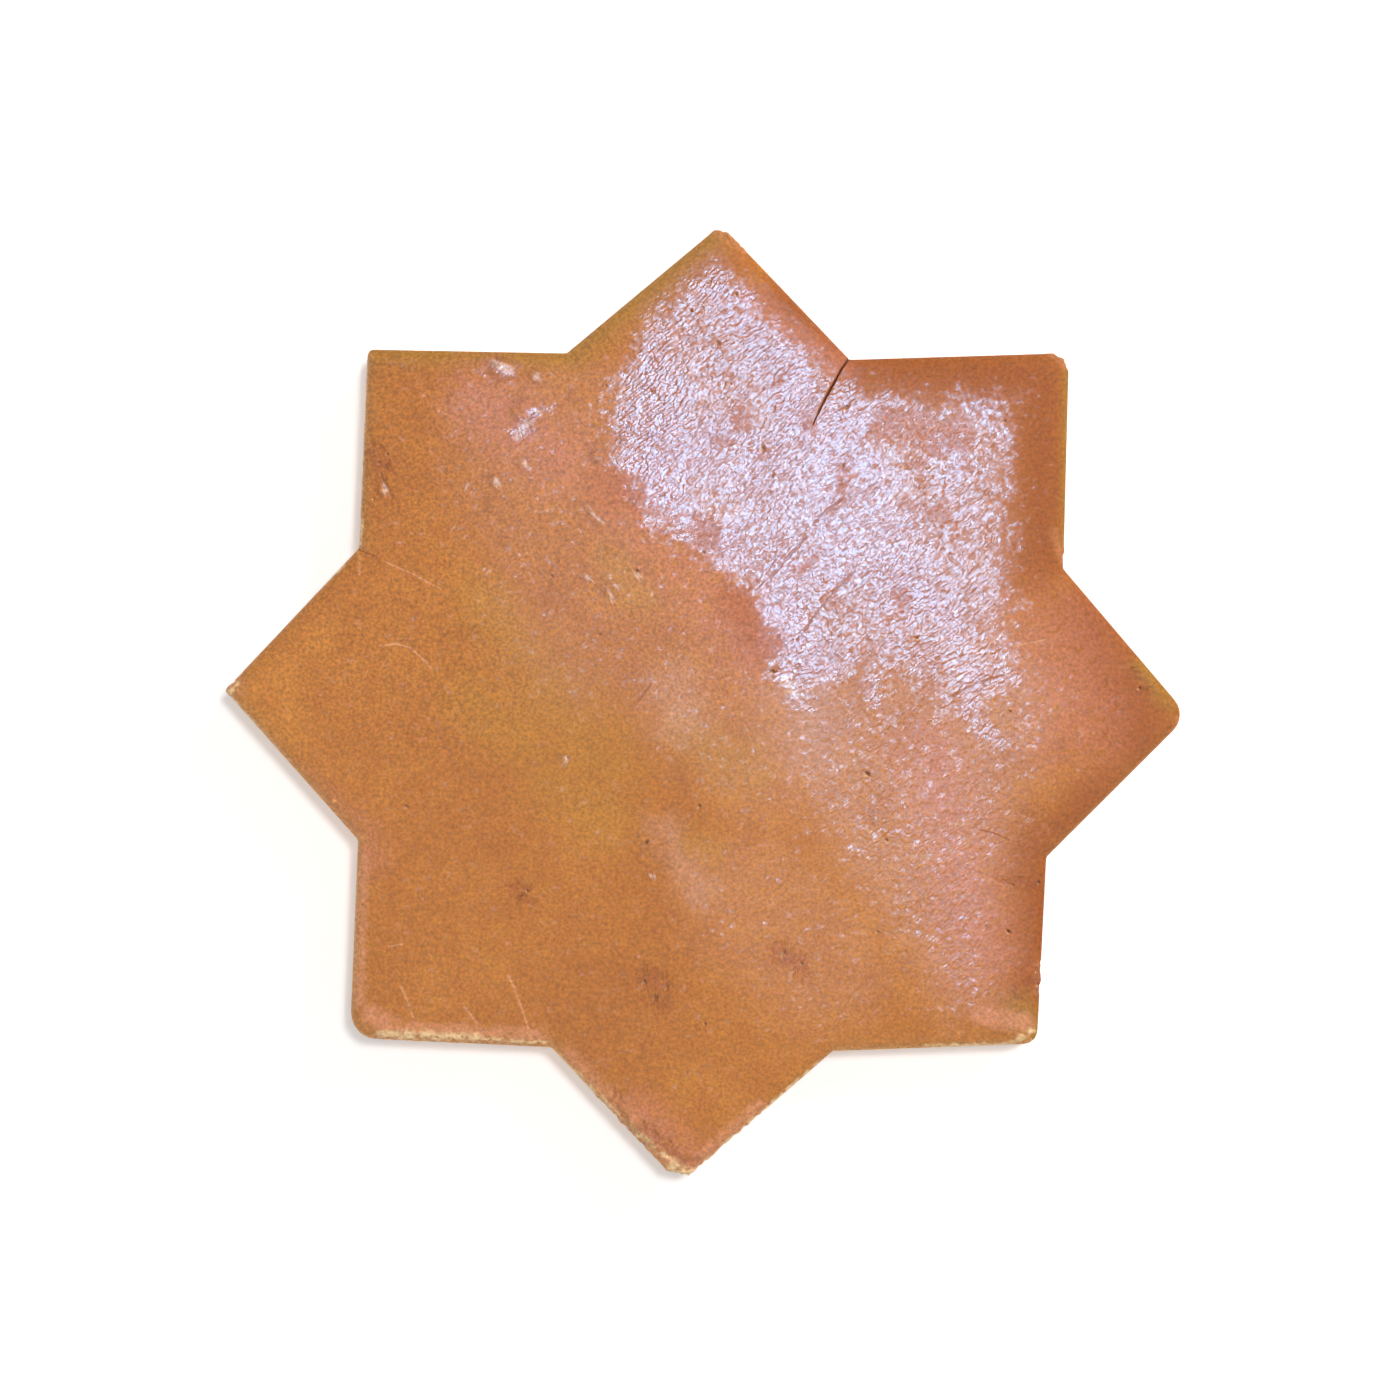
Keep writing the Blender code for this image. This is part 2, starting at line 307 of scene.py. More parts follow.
# %% Place pits, beads, lines and the crack
DRYING_CRACK = [(850, 357), (840, 372), (826, 398), (819, 412), (813, 425)]
INCISED_LINES = [
    [(748, 592), (775, 560), (804, 532), (822, 515), (845, 497)],
    [(757, 590), (781, 565), (806, 537)],
    [(796, 642), (812, 619), (830, 596), (852, 573)],
    [(638, 702), (652, 683)],
    [(950, 697), (976, 683), (1003, 675)],
    [(359, 550), (380, 558)],
    [(977, 829), (992, 832), (1007, 839)],
]
SCRATCHES = [
    [(382, 646), (398, 644), (412, 648), (423, 658), (432, 668)],
    [(388, 563), (417, 576), (441, 589)],
    [(361, 556), (361, 575)],
    [(509, 974), (515, 986), (522, 1005), (528, 1024), (533, 1036)],
    [(402, 985), (410, 1003), (414, 1016)],
    [(464, 1003), (478, 1022)],
    [(390, 945), (404, 943)],
    [(1012, 647), (1043, 640)],
]
# Each row is a pixel, the width and the depth in mm
PITS = [
    (637, 571, 0.8, 0.40), (607, 387, 0.6, 0.30), (773, 671, 0.9, 0.55), (867, 773, 1.2, 0.50),
    (886, 839, 0.8, 0.50), (1009, 711, 0.7, 0.50), (1007, 930, 0.8, 0.55), (878, 931, 0.6, 0.30),
    (916, 638, 0.6, 0.45), (847, 408, 0.7, 0.50), (774, 409, 0.5, 0.35), (718, 344, 0.7, 0.35),
    (692, 312, 0.5, 0.40), (736, 296, 0.6, 0.40), (700, 805, 0.6, 0.35), (647, 842, 0.9, 0.55),
    (568, 757, 0.6, 0.30), (553, 576, 0.5, 0.30), (601, 635, 0.6, 0.30), (793, 968, 1.0, 0.45),
    (784, 951, 0.8, 0.40), (801, 962, 0.7, 0.40), (645, 980, 0.7, 0.35), (657, 996, 0.9, 0.40),
    (668, 985, 0.6, 0.30), (1038, 882, 0.7, 0.40), (1012, 884, 0.6, 0.30), (1038, 984, 0.8, 0.50),
    (1036, 971, 0.6, 0.40), (1138, 688, 0.7, 0.35), (705, 1022, 0.6, 0.35), (375, 500, 0.6, 0.30),
    (381, 463, 0.6, 0.30), (388, 455, 0.5, 0.30), (522, 895, 0.8, 0.30), (528, 890, 0.5, 0.30),
    (763, 449, 0.6, 0.40), (731, 385, 0.5, 0.35), (772, 477, 0.5, 0.30), (652, 392, 0.5, 0.30),
    (843, 466, 0.6, 0.35), (1004, 422, 0.6, 0.35), (704, 553, 0.5, 0.30), (409, 806, 0.7, 0.25),
]
# A bead has the same columns, and stands up where its depth is below zero
BEADS = [
    (386, 490, 3.2, 0.20), (497, 482, 2.9, -0.18), (525, 466, 2.4, -0.15), (597, 517, 3.0, -0.19),
    (612, 594, 3.3, -0.20), (537, 424, 3.0, -0.15), (538, 378, 2.8, -0.15), (502, 370, 4.5, -0.14),
    (524, 412, 5.0, -0.16), (507, 542, 2.4, -0.10), (493, 507, 3.2, -0.08), (567, 757, 1.5, -0.10),
    (579, 805, 1.4, -0.10), (731, 782, 1.2, -0.10), (650, 875, 1.3, -0.08), (587, 577, 1.2, -0.08),
    (1012, 805, 1.5, -0.15), (1027, 810, 2.4, -0.13), (966, 812, 1.5, -0.12), (925, 895, 2.4, -0.11),
    (1060, 743, 1.8, -0.11), (1045, 730, 1.7, -0.11), (1016, 778, 1.6, -0.11), (895, 729, 2.0, -0.11),
    (830, 735, 2.6, -0.11), (876, 818, 2.8, -0.11), (463, 985, 1.0, -0.08), (575, 400, 2.2, -0.10),
    (1020, 990, 3.0, -0.08), (625, 438, 2.0, -0.13), (598, 455, 3.2, -0.11), (580, 362, 1.8, -0.11),
    (604, 525, 1.4, -0.10), (560, 470, 1.8, -0.08), (455, 400, 2.6, -0.10), (470, 470, 1.8, -0.07),
]

# %% [markdown]
# ## Gathering the grid
# A mark under a millimetre wide would fall between grid points that lie a millimetre apart. So the
# grid is pulled together around each mark first: every point near a mark moves towards it, most when
# it is closest. The pull fades out at the edge, where the points have to stay on the outline.

# %% Pull the grid towards the marks
GATHER_REACH = 4.5 * MM
GATHER_PULL = 0.80
GATHER_FADE = 4.0 * MM


def gathered(points, path, freedom):
    """Points drawn to a path, by a share of the way that falls as the square of 1 - distance squared."""
    offset, _ = nearest_on(points, path)
    near = np.clip(1 - (offset**2).sum(axis=1) / GATHER_REACH**2, 0, 1)
    return points + offset * (GATHER_PULL * near**2 * freedom)[:, None]


freedom = np.clip(first_inside / GATHER_FADE, 0, 1)
crack_path = on_tile(DRYING_CRACK)
line_paths = [on_tile(line) for line in INCISED_LINES]
scratch_paths = [on_tile(line) for line in SCRATCHES]
hair = np.array([0.01 * MM, 0.0])
pit_places, bead_places = (on_tile([row[:2] for row in rows]) for rows in (PITS, BEADS))
spots = [np.stack([place, place + hair]) for place in [*pit_places, *bead_places]]
# The crack pulls twice, because it is cut the deepest
marks = [crack_path, crack_path, *line_paths, *scratch_paths, *spots]
for path in marks:
    plan = gathered(plan, path, freedom)
inside = soft_inside(plan)
print("gathered round", len(marks), "marks")

# %% [markdown]
# ## The pressed face
# The maker pressed the clay with the palm and rounded the edge with a wet thumb. A bevelled slab
# would be even all round, so the height is a function of the distance from the edge instead: a
# quarter circle, the arris, and then a shoulder that climbs as a parabola to a nearly flat field.
# These sizes repeat the CAD model's, so both have one form, apart from the room for the beads.

# %% Work out the height of the smooth face
THICKNESS = cad_box[1][2]
ARRIS_RADIUS = 2.2 * MM
SHOULDER_DROP = 1.1 * MM
SHOULDER_WIDTH = 8.0 * MM
SHOULDER_SWAY = 0.4
WAVE_HEIGHT = 0.10 * MM
WAVE_LENGTH = 62.0 * MM
WAVE_FADE = 9.0 * MM
WAVE_LEAN = 0.3
WAVE_CROSS = 0.8
# The whole face lies this much lower, so that the tallest bead stays inside the CAD box
BEAD_ROOM = 0.22 * MM


def smooth_face(points, inside):
    """Thickness, less a parabola over the shoulder, less a quarter circle over the arris, plus waves."""
    x, y = (points - middle).T
    width = SHOULDER_WIDTH * (1 + SHOULDER_SWAY * np.cos(np.arctan2(y, x)))
    shoulder = SHOULDER_DROP * np.maximum(0, 1 - inside / width) ** 2
    arris = ARRIS_RADIUS * (1 - np.sqrt(1 - np.maximum(0, 1 - inside / ARRIS_RADIUS) ** 2))
    turn = 2 * math.pi / WAVE_LENGTH
    wave = np.sin(turn * (x + WAVE_LEAN * y)) * np.cos(WAVE_CROSS * turn * y)
    return THICKNESS - shoulder - arris + WAVE_HEIGHT * (wave - 1) * np.minimum(1, inside / WAVE_FADE)


height = smooth_face(plan, inside) - BEAD_ROOM
print("face from", round(height.min() / MM, 2), "to", round(height.max() / MM, 2), "mm")

# %% [markdown]
# ## The feel of clay
# Hand-smoothed clay is never even: palm dents of a few centimetres, lumps of a centimetre, and the
# peel of grit under a wet finger. A Displace modifier could raise them, but as arrays they can fade
# out at the rim. Gradient noise gives each of them at its own size. The finest grain is too small
# for a mesh and comes later, as bump in the material.

# %% Add dents, lumps and peel
NOISE_TABLE = 256
NOISE_GAIN = 1.4
DENT_SIZE, DENT_HEIGHT = 24.0 * MM, 0.07 * MM
LUMP_SIZE, LUMP_HEIGHT = 6.0 * MM, 0.026 * MM
PEEL_SIZE, PEEL_HEIGHT = 2.4 * MM, 0.018 * MM
RELIEF_FADE = 1.5 * MM


def clay_noise(points, size, seed):
    """Gradient noise: each lattice corner holds a random slope, and the four around a point are blended."""
    angles = np.random.default_rng(seed).uniform(0, 2 * math.pi, (NOISE_TABLE, NOISE_TABLE))
    place = points / size + NOISE_TABLE / 2
    cell = np.floor(place).astype(int)
    x, y = (place - cell).T
    blend_x, blend_y = (v**3 * (v * (6 * v - 15) + 10) for v in (x, y))

    def corner(right, up):
        angle = angles[(cell[:, 0] + right) % NOISE_TABLE, (cell[:, 1] + up) % NOISE_TABLE]
        return np.cos(angle) * (x - right) + np.sin(angle) * (y - up)

    low = corner(0, 0) * (1 - blend_x) + corner(1, 0) * blend_x
    high = corner(0, 1) * (1 - blend_x) + corner(1, 1) * blend_x
    return NOISE_GAIN * (low * (1 - blend_y) + high * blend_y)


relief = DENT_HEIGHT * clay_noise(plan, DENT_SIZE, 11)
relief += LUMP_HEIGHT * clay_noise(plan, LUMP_SIZE, 12)
relief += PEEL_HEIGHT * clay_noise(plan, PEEL_SIZE, 13)
height += relief * np.minimum(1, inside / RELIEF_FADE)
print("standard deviation of the relief:", round(relief.std() / MM, 3), "mm")

# %% [markdown]
# ## Pits and beads
# Grit pops out of soft clay, or stays in it as a bead. Boolean cuts would be slow and leave hard
# rims, so each is a function of the distance to its place: a pit is a small bowl with a low lip, and
# a bead is a dome. Noise shifts the points first, because broken clay isn't round. Each pit gets
# painted shade inside and a painted highlight on the lower left of its lip, and each bead gets painted
# shade on its left. The hollows with their painted shade, and the painted highlights, are kept as
# values from 0 to 1 for the material.

# %% Cut the pits and raise the beads
LIP_SHARE, LIP_PLACE, LIP_SOFTNESS = 0.18, 1.25, 0.3
# How soon a pit is filled with painted shade
PIT_FILL = 5.0
# Where the painted highlight on each lip sits, in half widths towards the lower left, and its size
LIP_HIGHLIGHT_OFFSET, LIP_HIGHLIGHT_SIZE = np.array([-0.75, -0.75]), 0.55
# How dark and how soft the painted shade on the left of each bead is
BEAD_SHADE_DARK, BEAD_SHADE_SOFTNESS = 0.5, 0.25
PIT_WOBBLE_SIZE, PIT_WOBBLE = 0.8 * MM, 0.17 * MM


def drift(points, size, shift, seeds):
    """A shift for each point: gradient noise of one size for its x, and another for its y."""
    return shift * np.stack([clay_noise(points, size, seed) for seed in seeds], axis=1)


def half_widths_out(points, place, width):
    """How far each point lies from a mark's place, divided by half the mark's width."""
    return np.linalg.norm(points - place, axis=1) / (width * MM / 2)


def dome(out):
    """The square of 1 - distance squared: one in the middle, and nothing from half the width on."""
    return np.maximum(0, 1 - out**2) ** 2


def bell(value, middle, softness):
    """The bell curve: e to the power of minus the square of the way from its middle over its softness."""
    return np.exp(-(((value - middle) / softness) ** 2))


hollow_shade = np.zeros(len(plan))
lip_highlight = np.zeros(len(plan))
wobbled = plan + drift(plan, PIT_WOBBLE_SIZE, PIT_WOBBLE, (41, 42))
for place, (_, _, width, depth) in zip(pit_places, PITS):
    out = half_widths_out(wobbled, place, width)
    height -= depth * MM * (dome(out) - LIP_SHARE * bell(out, LIP_PLACE, LIP_SOFTNESS))
    # Each pit is darkened with painted shade
    hollow_shade = np.maximum(hollow_shade, np.minimum(1, PIT_FILL * dome(out)))
    # A painted highlight on the lower left side of the lip
    off_highlight = half_widths_out(wobbled, place + LIP_HIGHLIGHT_OFFSET * width * MM / 2, width)
    lip_highlight = np.maximum(lip_highlight, bell(off_highlight, 0, LIP_HIGHLIGHT_SIZE))
for place, (_, _, width, depth) in zip(bead_places, BEADS):
    out = half_widths_out(wobbled, place, width)
    height -= depth * MM * dome(out)
    rightness = (wobbled - place)[:, 0] / np.maximum(TINY, out * width * MM / 2)
    # Painted shade on the left of each bead
    bead_shade = bell(out, 1, BEAD_SHADE_SOFTNESS) * (1 - rightness) / 2
    hollow_shade = np.maximum(hollow_shade, BEAD_SHADE_DARK * bead_shade)
print(len(PITS), "pits and", len(BEADS), "beads darken", round(100 * hollow_shade.mean(), 1), "% of the grid")

# %% [markdown]
# ## Lines, scratches and the crack
# A line drawn in wet clay is a groove, and a scratch is a wide and shallow one that cuts only the seal.
# Both fall off as a parabola. The drying crack is a V that gets narrower and shallower inwards, as its
# faces closed there. Bump could draw them too, but cut into the mesh they catch real light and are
# part of the tile's shape. The crack is cut only as deep as the eye can follow it.

# %% Cut the lines, the scratches and the crack
LINE_HALF_WIDTH, LINE_DEPTH = 0.15 * MM, 0.08 * MM
SCRATCH_HALF_WIDTH, SCRATCH_DEPTH = 0.24 * MM, 0.03 * MM
CRACK_HALF_WIDTH, CRACK_END_HALF_WIDTH = 0.28 * MM, 0.13 * MM
CRACK_DEPTH, CRACK_END_DEPTH = 2.0 * MM, 0.5 * MM
CRACK_FILL = 2.0


def groove(paths, half_width):
    """One along the paths, falling as a parabola to nothing at half the width."""
    gaps = np.stack([np.linalg.norm(nearest_on(plan, path)[0], axis=1) for path in paths])
    return np.maximum(0, 1 - (gaps.min(axis=0) / half_width) ** 2)


lines = groove(line_paths, LINE_HALF_WIDTH)
scratched = groove(scratch_paths, SCRATCH_HALF_WIDTH)
height -= LINE_DEPTH * lines + SCRATCH_DEPTH * scratched
offset, travel = nearest_on(plan, crack_path)
half_width = CRACK_HALF_WIDTH + (CRACK_END_HALF_WIDTH - CRACK_HALF_WIDTH) * travel
section = np.maximum(0, 1 - np.linalg.norm(offset, axis=1) / half_width)
height -= section * (CRACK_DEPTH + (CRACK_END_DEPTH - CRACK_DEPTH) * travel)
# The crack is darkened with painted shade
hollow_shade = np.maximum(hollow_shade, np.minimum(1, CRACK_FILL * section))
print("lowest place of the face is at", round(height.min() / MM, 2), "mm")

# %% [markdown]
# ## Crumbled tips
# A corner of soft-fired clay breaks first. The west tip has crumbs on it, and the south tip is broken
# off raggedly. Crumbs could be sculpted by hand, but noise gives the same ones each time: around
# those places the edge gets a coarse noise and draws in a little. A stroke, a line with a soft
# width, says where.

# %% Crumble the tips
# Each row is a stroke from pixel to pixel and its half width in pixels
CRUMBLED = [
    ((226, 690), (243, 686), 15),
    ((655, 1150), (700, 1175), 15),
    ((600, 1100), (655, 1150), 9),
    ((690, 1172), (712, 1155), 9),
    ((716, 232), (745, 250), 8),
    ((1050, 352), (1066, 366), 7),
    ((1038, 965), (1036, 990), 7),
    ((378, 1034), (548, 1040), 7),
    ((760, 1112), (704, 1160), 8),
    ((1052, 532), (1064, 562), 8),
]
CRUMB_SIZE, CRUMB_HEIGHT, CRUMB_SINK = 1.3 * MM, 0.30 * MM, 0.6
FINE_CRUMB_SHARE = 0.5
CRUMB_FADE = 5.0 * MM
DRAW_IN = 0.45 * MM


def strokes(rows, points):
    """The strongest stroke at each point: one on the stroke's line, and nothing at its half width."""
    gaps = [np.linalg.norm(nearest_on(points, on_tile(row[:2]))[0], axis=1) for row in rows]
    half_widths = PIXEL * np.array([row[2] for row in rows])
    return np.clip(1 - np.stack(gaps) / half_widths[:, None], 0, 1).max(axis=0)


def smooth(value):
    """The smooth step 3v^2 - 2v^3 of a value kept between 0 and 1."""
    value = np.clip(value, 0, 1)
    return value * value * (3 - 2 * value)


def area(rows, points, fullness=1.0):
    """The smooth step of the strokes times a fullness, which widens the full middle of each."""
    return smooth(fullness * strokes(rows, points))


broken = area(CRUMBLED, plan, fullness=1.6) * np.clip(1 - inside / CRUMB_FADE, 0, 1)
crumbs = clay_noise(plan, CRUMB_SIZE, 21) + FINE_CRUMB_SHARE * clay_noise(plan, CRUMB_SIZE / 2, 22)
height += broken * CRUMB_HEIGHT * (crumbs - CRUMB_SINK)
bite = DRAW_IN * broken * clay_noise(plan, CRUMB_SIZE, 23)
inwards = middle - plan
inwards /= np.maximum(TINY, np.linalg.norm(inwards, axis=1, keepdims=True))
plan = plan + inwards * bite[:, None]
print(round(100 * (broken > 0.1).mean(), 1), "% of the grid is crumbled")

# %% [markdown]
# ## Wall and back
# The star was cut from the slab with a blade drawn along each side, so the wall has long level drag
# marks and a few torn pits. An extruded wall would be smooth, so it is a profile carried round the
# rim in rows that noise can move: from the bed, over its chamfer, up to the top line. The back lay
# on a board and is plain.

# %% Carry the wall round
WALL_ROWS = 10
DRAG_LENGTH, DRAG_STEP, DRAG_DEPTH = 14.0 * MM, 1.1 * MM, 0.16 * MM
# Where the noise has this value, the blade left the wall where it is
DRAG_MIDDLE = 0.5
TEAR_SIZE, TEAR_DEPTH = 2.4 * MM, 0.30 * MM
TEAR_STEEPNESS, TEAR_LEVEL = 2.5, 1.1
# The marks fade out over one part in so many of the wall, at its foot and at its top
WALL_FADE = 4
BACK_ROWS = 2


def ring_of(ring):
    """A closed line sampled as the rim of the face is: up to each tip and down to the next notch."""
    sides = [kite_sides(ring, k) for k in range(POINTS_OF_STAR)]
    return np.concatenate([np.concatenate([first[:-1], last[:0:-1]]) for first, last in sides])


foot_ring, bed_ring = ring_of(foot), ring_of(bed_edge)
top_ring, top_level = plan[rim], height[rim]
outward = foot_ring - ring_of(wall_top)
outward /= np.linalg.norm(outward, axis=1, keepdims=True)
ring_steps = np.linalg.norm(np.diff(foot_ring, axis=0), axis=1)
round_the_wall = np.concatenate([[0], np.cumsum(ring_steps)])
rise = np.linspace(0, 1, WALL_ROWS + 1)[:-1, None]
level = FOOT_LEVEL + rise * (top_level - FOOT_LEVEL)
drag_place = np.stack(np.broadcast_arrays(round_the_wall / DRAG_LENGTH, level / DRAG_STEP), axis=-1)
tear_place = np.stack(np.broadcast_arrays(round_the_wall, level), axis=-1)
drag = clay_noise(drag_place.reshape(-1, 2), 1.0, 31).reshape(level.shape)
tear = clay_noise(tear_place.reshape(-1, 2), TEAR_SIZE, 32).reshape(level.shape)
tear = np.clip(TEAR_STEEPNESS * tear - TEAR_LEVEL, 0, 1)
depth = DRAG_DEPTH * (DRAG_MIDDLE - drag) + TEAR_DEPTH * tear
depth = depth * smooth(WALL_FADE * rise) * smooth(WALL_FADE * (1 - rise))
wall_xy = foot_ring + rise[..., None] * (top_ring - foot_ring) - outward * depth[..., None]
wall = np.concatenate([wall_xy, level[..., None]], axis=-1)
bed = np.concatenate([bed_ring, np.zeros((len(bed_ring), 1))], axis=1)
back = np.stack([bed * [share, share, 1] for share in np.linspace(1, 0, BACK_ROWS + 1)[1:-1]])
rings = np.concatenate([back[::-1], bed[None], wall])
print(rings.shape[0], "rings of", rings.shape[1], "points below the rim")

# %% Put face, wall and back into one closed mesh
first_place = len(plan)
pole = first_place + rings.shape[0] * rings.shape[1]
ring_places = np.arange(first_place, pole).reshape(rings.shape[:2])
ring_places = np.concatenate([ring_places, rim[None]])
around = np.roll(ring_places, -1, axis=1)
wall_quads = np.stack([ring_places[:-1], around[:-1], around[1:], ring_places[1:]], axis=-1)
wall_quads = wall_quads.reshape(-1, 4)
back_fan = np.stack([np.full(rings.shape[1], pole), around[0], ring_places[0]], axis=-1)
corners = np.concatenate([np.column_stack([plan, height]), rings.reshape(-1, 3), [[0.0, 0.0, 0.0]]])
quads = np.concatenate([face_quads, wall_quads])
tile_mesh = bpy.data.meshes.new("terracotta_star")
tile_mesh.from_pydata(corners.tolist(), [], quads.tolist() + back_fan.tolist())
tile_mesh.validate()
tile_mesh.shade_smooth()
tile = bpy.data.objects.new("terracotta_star", tile_mesh)
bpy.context.scene.collection.objects.link(tile)
print(len(corners), "corners,", 2 * len(quads) + len(back_fan), "triangles")

# %% [markdown]
# ## The colours of the fire, with painted shade and sheen
# Low-fired clay is not one colour. Some edges are ochre, close to the heat it went umber, finer clay
# looks rose, and parts of the field burnt to gold. The umber on the edges that face the upper right is
# partly painted shade, and the rose is partly painted sheen. A noise alone could mottle the clay, but
# these stains belong to places on this tile. So they are soft strokes, kept on the mesh as attributes.

# %% Store the colours of the fire
# Each row is a stroke from pixel to pixel and its half width in pixels
OCHRE = [
    ((572, 352), (712, 236), 34), ((372, 352), (568, 356), 26), ((1168, 700), (1140, 668), 20),
    ((1036, 1028), (1020, 1010), 36), ((1066, 372), (1064, 545), 10),
]
# Partly painted sheen
ROSE_AND_SHEEN = [
    ((1050, 640), (1075, 720), 90), ((930, 760), (980, 950), 70), ((745, 300), (840, 370), 24),
    ((640, 500), (760, 640), 80), ((480, 400), (560, 460), 66), ((640, 1110), (690, 1160), 40),
    ((360, 850), (300, 800), 50),
]
# Partly painted shade, on the edges that face the upper right
UMBER_AND_SHADE = [
    ((880, 372), (1040, 380), 60), ((1040, 380), (1040, 560), 60), ((1090, 620), (1150, 760), 80),
    ((735, 605), (760, 650), 34), ((1038, 850), (1034, 1000), 64), ((790, 300), (860, 372), 44),
    ((1110, 780), (1060, 830), 44),
]
GOLD = [
    ((553, 780), (607, 820), 60), ((540, 690), (600, 760), 80), ((690, 838), (713, 853), 24),
    ((690, 740), (745, 770), 50), ((473, 700), (527, 740), 60), ((610, 560), (640, 600), 30),
    ((480, 600), (520, 650), 50),
]
RAGGED_SIZE, RAGGED_SHIFT = 5.0 * MM, 2.0 * MM
FRAYED_SIZE, FRAYED_SHIFT = 1.2 * MM, 1.4 * MM


def keep(name, values):
    """Stores one number for each corner on the mesh, for the material to read."""
    kept = tile_mesh.attributes.new(name, "FLOAT", "POINT")
    kept.data.foreach_set("value", values.astype(np.float32))


all_plan = corners[:, :2]
ragged = all_plan + drift(all_plan, RAGGED_SIZE, RAGGED_SHIFT, (51, 52))
ragged += drift(all_plan, FRAYED_SIZE, FRAYED_SHIFT, (53, 54))
for name, rows in {"ochre": OCHRE, "rose_and_sheen": ROSE_AND_SHEEN, "umber_and_shade": UMBER_AND_SHADE}.items():
    keep(name, area(rows, all_plan))
keep("gold", area(GOLD, ragged))
print("colours of the fire on", len(all_plan), "corners")

# %% [markdown]
# ## What handling wore off, and painted light on the edges
# Handling rubs a tile from its edges inwards. The lower rims are rubbed to a soft peach, and the arris
# itself to pale clay, and both also stand in part for painted highlights. On the face lie pale
# patches of painted sheen and flecks of painted glints, the seal flaked off and left the body bare,
# and clusters of small holes are pecked. These are strokes again. A scuff goes round the whole edge,
# so it is a formula: it falls off exponentially inwards, and is strongest where the edge faces the
# lower left, where it is partly a painted lit rim. The marks end at the top of the wall.

# %% Store the wear and the painted light
# Peach rubbed rims, which partly stand for painted highlights on the lower edges
PEACH_AND_HIGHLIT = [
    ((565, 1062), (655, 1152), 24), ((250, 730), (350, 850), 16), ((362, 860), (358, 1000), 12),
    ((385, 1028), (540, 1034), 12), ((700, 1160), (760, 1108), 14), ((980, 1014), (1024, 1022), 16),
    ((372, 1014), (402, 1030), 16),
]
# Pale clay rubbed on the arris, which partly stands for painted highlights
WORN_AND_HIGHLIT = [
    ((380, 1033), (400, 1034), 5), ((400, 1034), (478, 1036), 7), ((478, 1038), (546, 1042), 3),
    ((604, 1098), (640, 1134), 3), ((640, 1134), (684, 1168), 5), ((762, 1112), (706, 1162), 4),
    ((925, 1045), (1012, 1044), 3), ((1012, 1041), (1032, 1030), 4), ((560, 1058), (604, 1098), 3),
    ((362, 520), (362, 545), 3), ((344, 566), (300, 606), 3), ((820, 1060), (762, 1112), 3),
    ((228, 694), (262, 734), 4), ((224, 700), (238, 686), 6), ((672, 1166), (700, 1174), 8),
]
BARE = [
    ((735, 419), (750, 428), 9), ((760, 458), (768, 454), 7), ((838, 502), (850, 476), 8),
    ((902, 504), (911, 513), 5), ((916, 508), (926, 514), 5), ((932, 513), (948, 520), 6),
    ((936, 503), (944, 508), 4), ((915, 433), (952, 436), 7), ((926, 440), (940, 444), 5),
    ((908, 460), (926, 466), 6), ((728, 598), (745, 606), 10), ((742, 618), (766, 640), 19),
    ((894, 592), (908, 604), 8), ((700, 530), (706, 520), 7), ((776, 386), (782, 380), 6),
    ((630, 500), (600, 490), 24), ((712, 445), (725, 440), 9), ((800, 575), (812, 560), 7),
    ((885, 430), (960, 438), 22), ((738, 412), (748, 426), 8), ((690, 525), (712, 540), 10),
    ((806, 420), (814, 426), 7),
]
PECKED = [
    ((640, 976), (668, 982), 10), ((652, 996), (664, 1000), 10), ((780, 948), (802, 966), 12),
    ((376, 454), (388, 464), 9), ((386, 484), (390, 498), 8), ((1126, 676), (1142, 690), 9),
    ((1036, 968), (1034, 988), 8), ((1006, 882), (1038, 886), 8), ((514, 886), (530, 898), 10),
    ((610, 1098), (648, 1132), 8), ((650, 1136), (684, 1158), 9),
]
# Painted glints: small pale flecks where the seal catches the light
PAINTED_GLINTS = [
    ((385, 487), (387, 493), 3), ((497, 480), (498, 484), 3), ((525, 463), (526, 467), 3),
    ((591, 511), (602, 524), 2), ((610, 589), (613, 599), 2), ((538, 376), (538, 380), 3),
    ((494, 364), (510, 371), 5), ((518, 438), (530, 424), 4), ((536, 415), (541, 409), 3),
    ((783, 677), (796, 696), 4), ((567, 756), (568, 759), 3), ((637, 575), (638, 577), 3),
    ((587, 577), (588, 579), 3), ((650, 875), (656, 877), 2),
]
# Painted sheen: soft pale pink patches
SHEEN_PATCHES = [
    ((664, 828), (682, 866), 30), ((680, 862), (698, 892), 30), ((795, 700), (808, 738), 75),
    ((676, 690), (684, 712), 50),
]
SMALL_DRIFT_SIZE, SMALL_DRIFT_SHIFT = 1.6 * MM, 0.5 * MM
# The scuff, which is partly a painted lit rim: its width, the bearing where it is strongest, and what every
# edge and the wall have
SCUFF_AND_LIGHT_WIDTH = 0.7 * MM
RIM_LIGHT_BEARING = math.radians(225)
SCUFF_AND_LIGHT_ALL_ROUND, SCUFF_AND_LIGHT_ON_WALL = 0.35, 0.5
# The power with which the marks fade down the wall
TOP_STEEPNESS = 6


def on_all(face_values, wall_values):
    """Values for every corner: the face's own, one for each ring or point below it, and the pole's."""
    below = np.broadcast_to(wall_values, rings.shape[:2]).reshape(-1)
    return np.concatenate([face_values, below, [0.0]])


def up_the_wall(shares):
    """A value for each ring below the face: nothing on the back and the bed, then these up the wall."""
    return np.concatenate([np.zeros(len(rings) - WALL_ROWS), shares])[:, None]


whole_face = np.ones(len(plan))
near_top = on_all(whole_face, up_the_wall(np.linspace(0, 1, WALL_ROWS) ** TOP_STEEPNESS))
small_drift_plan = all_plan + drift(all_plan, SMALL_DRIFT_SIZE, SMALL_DRIFT_SHIFT, (55, 56))
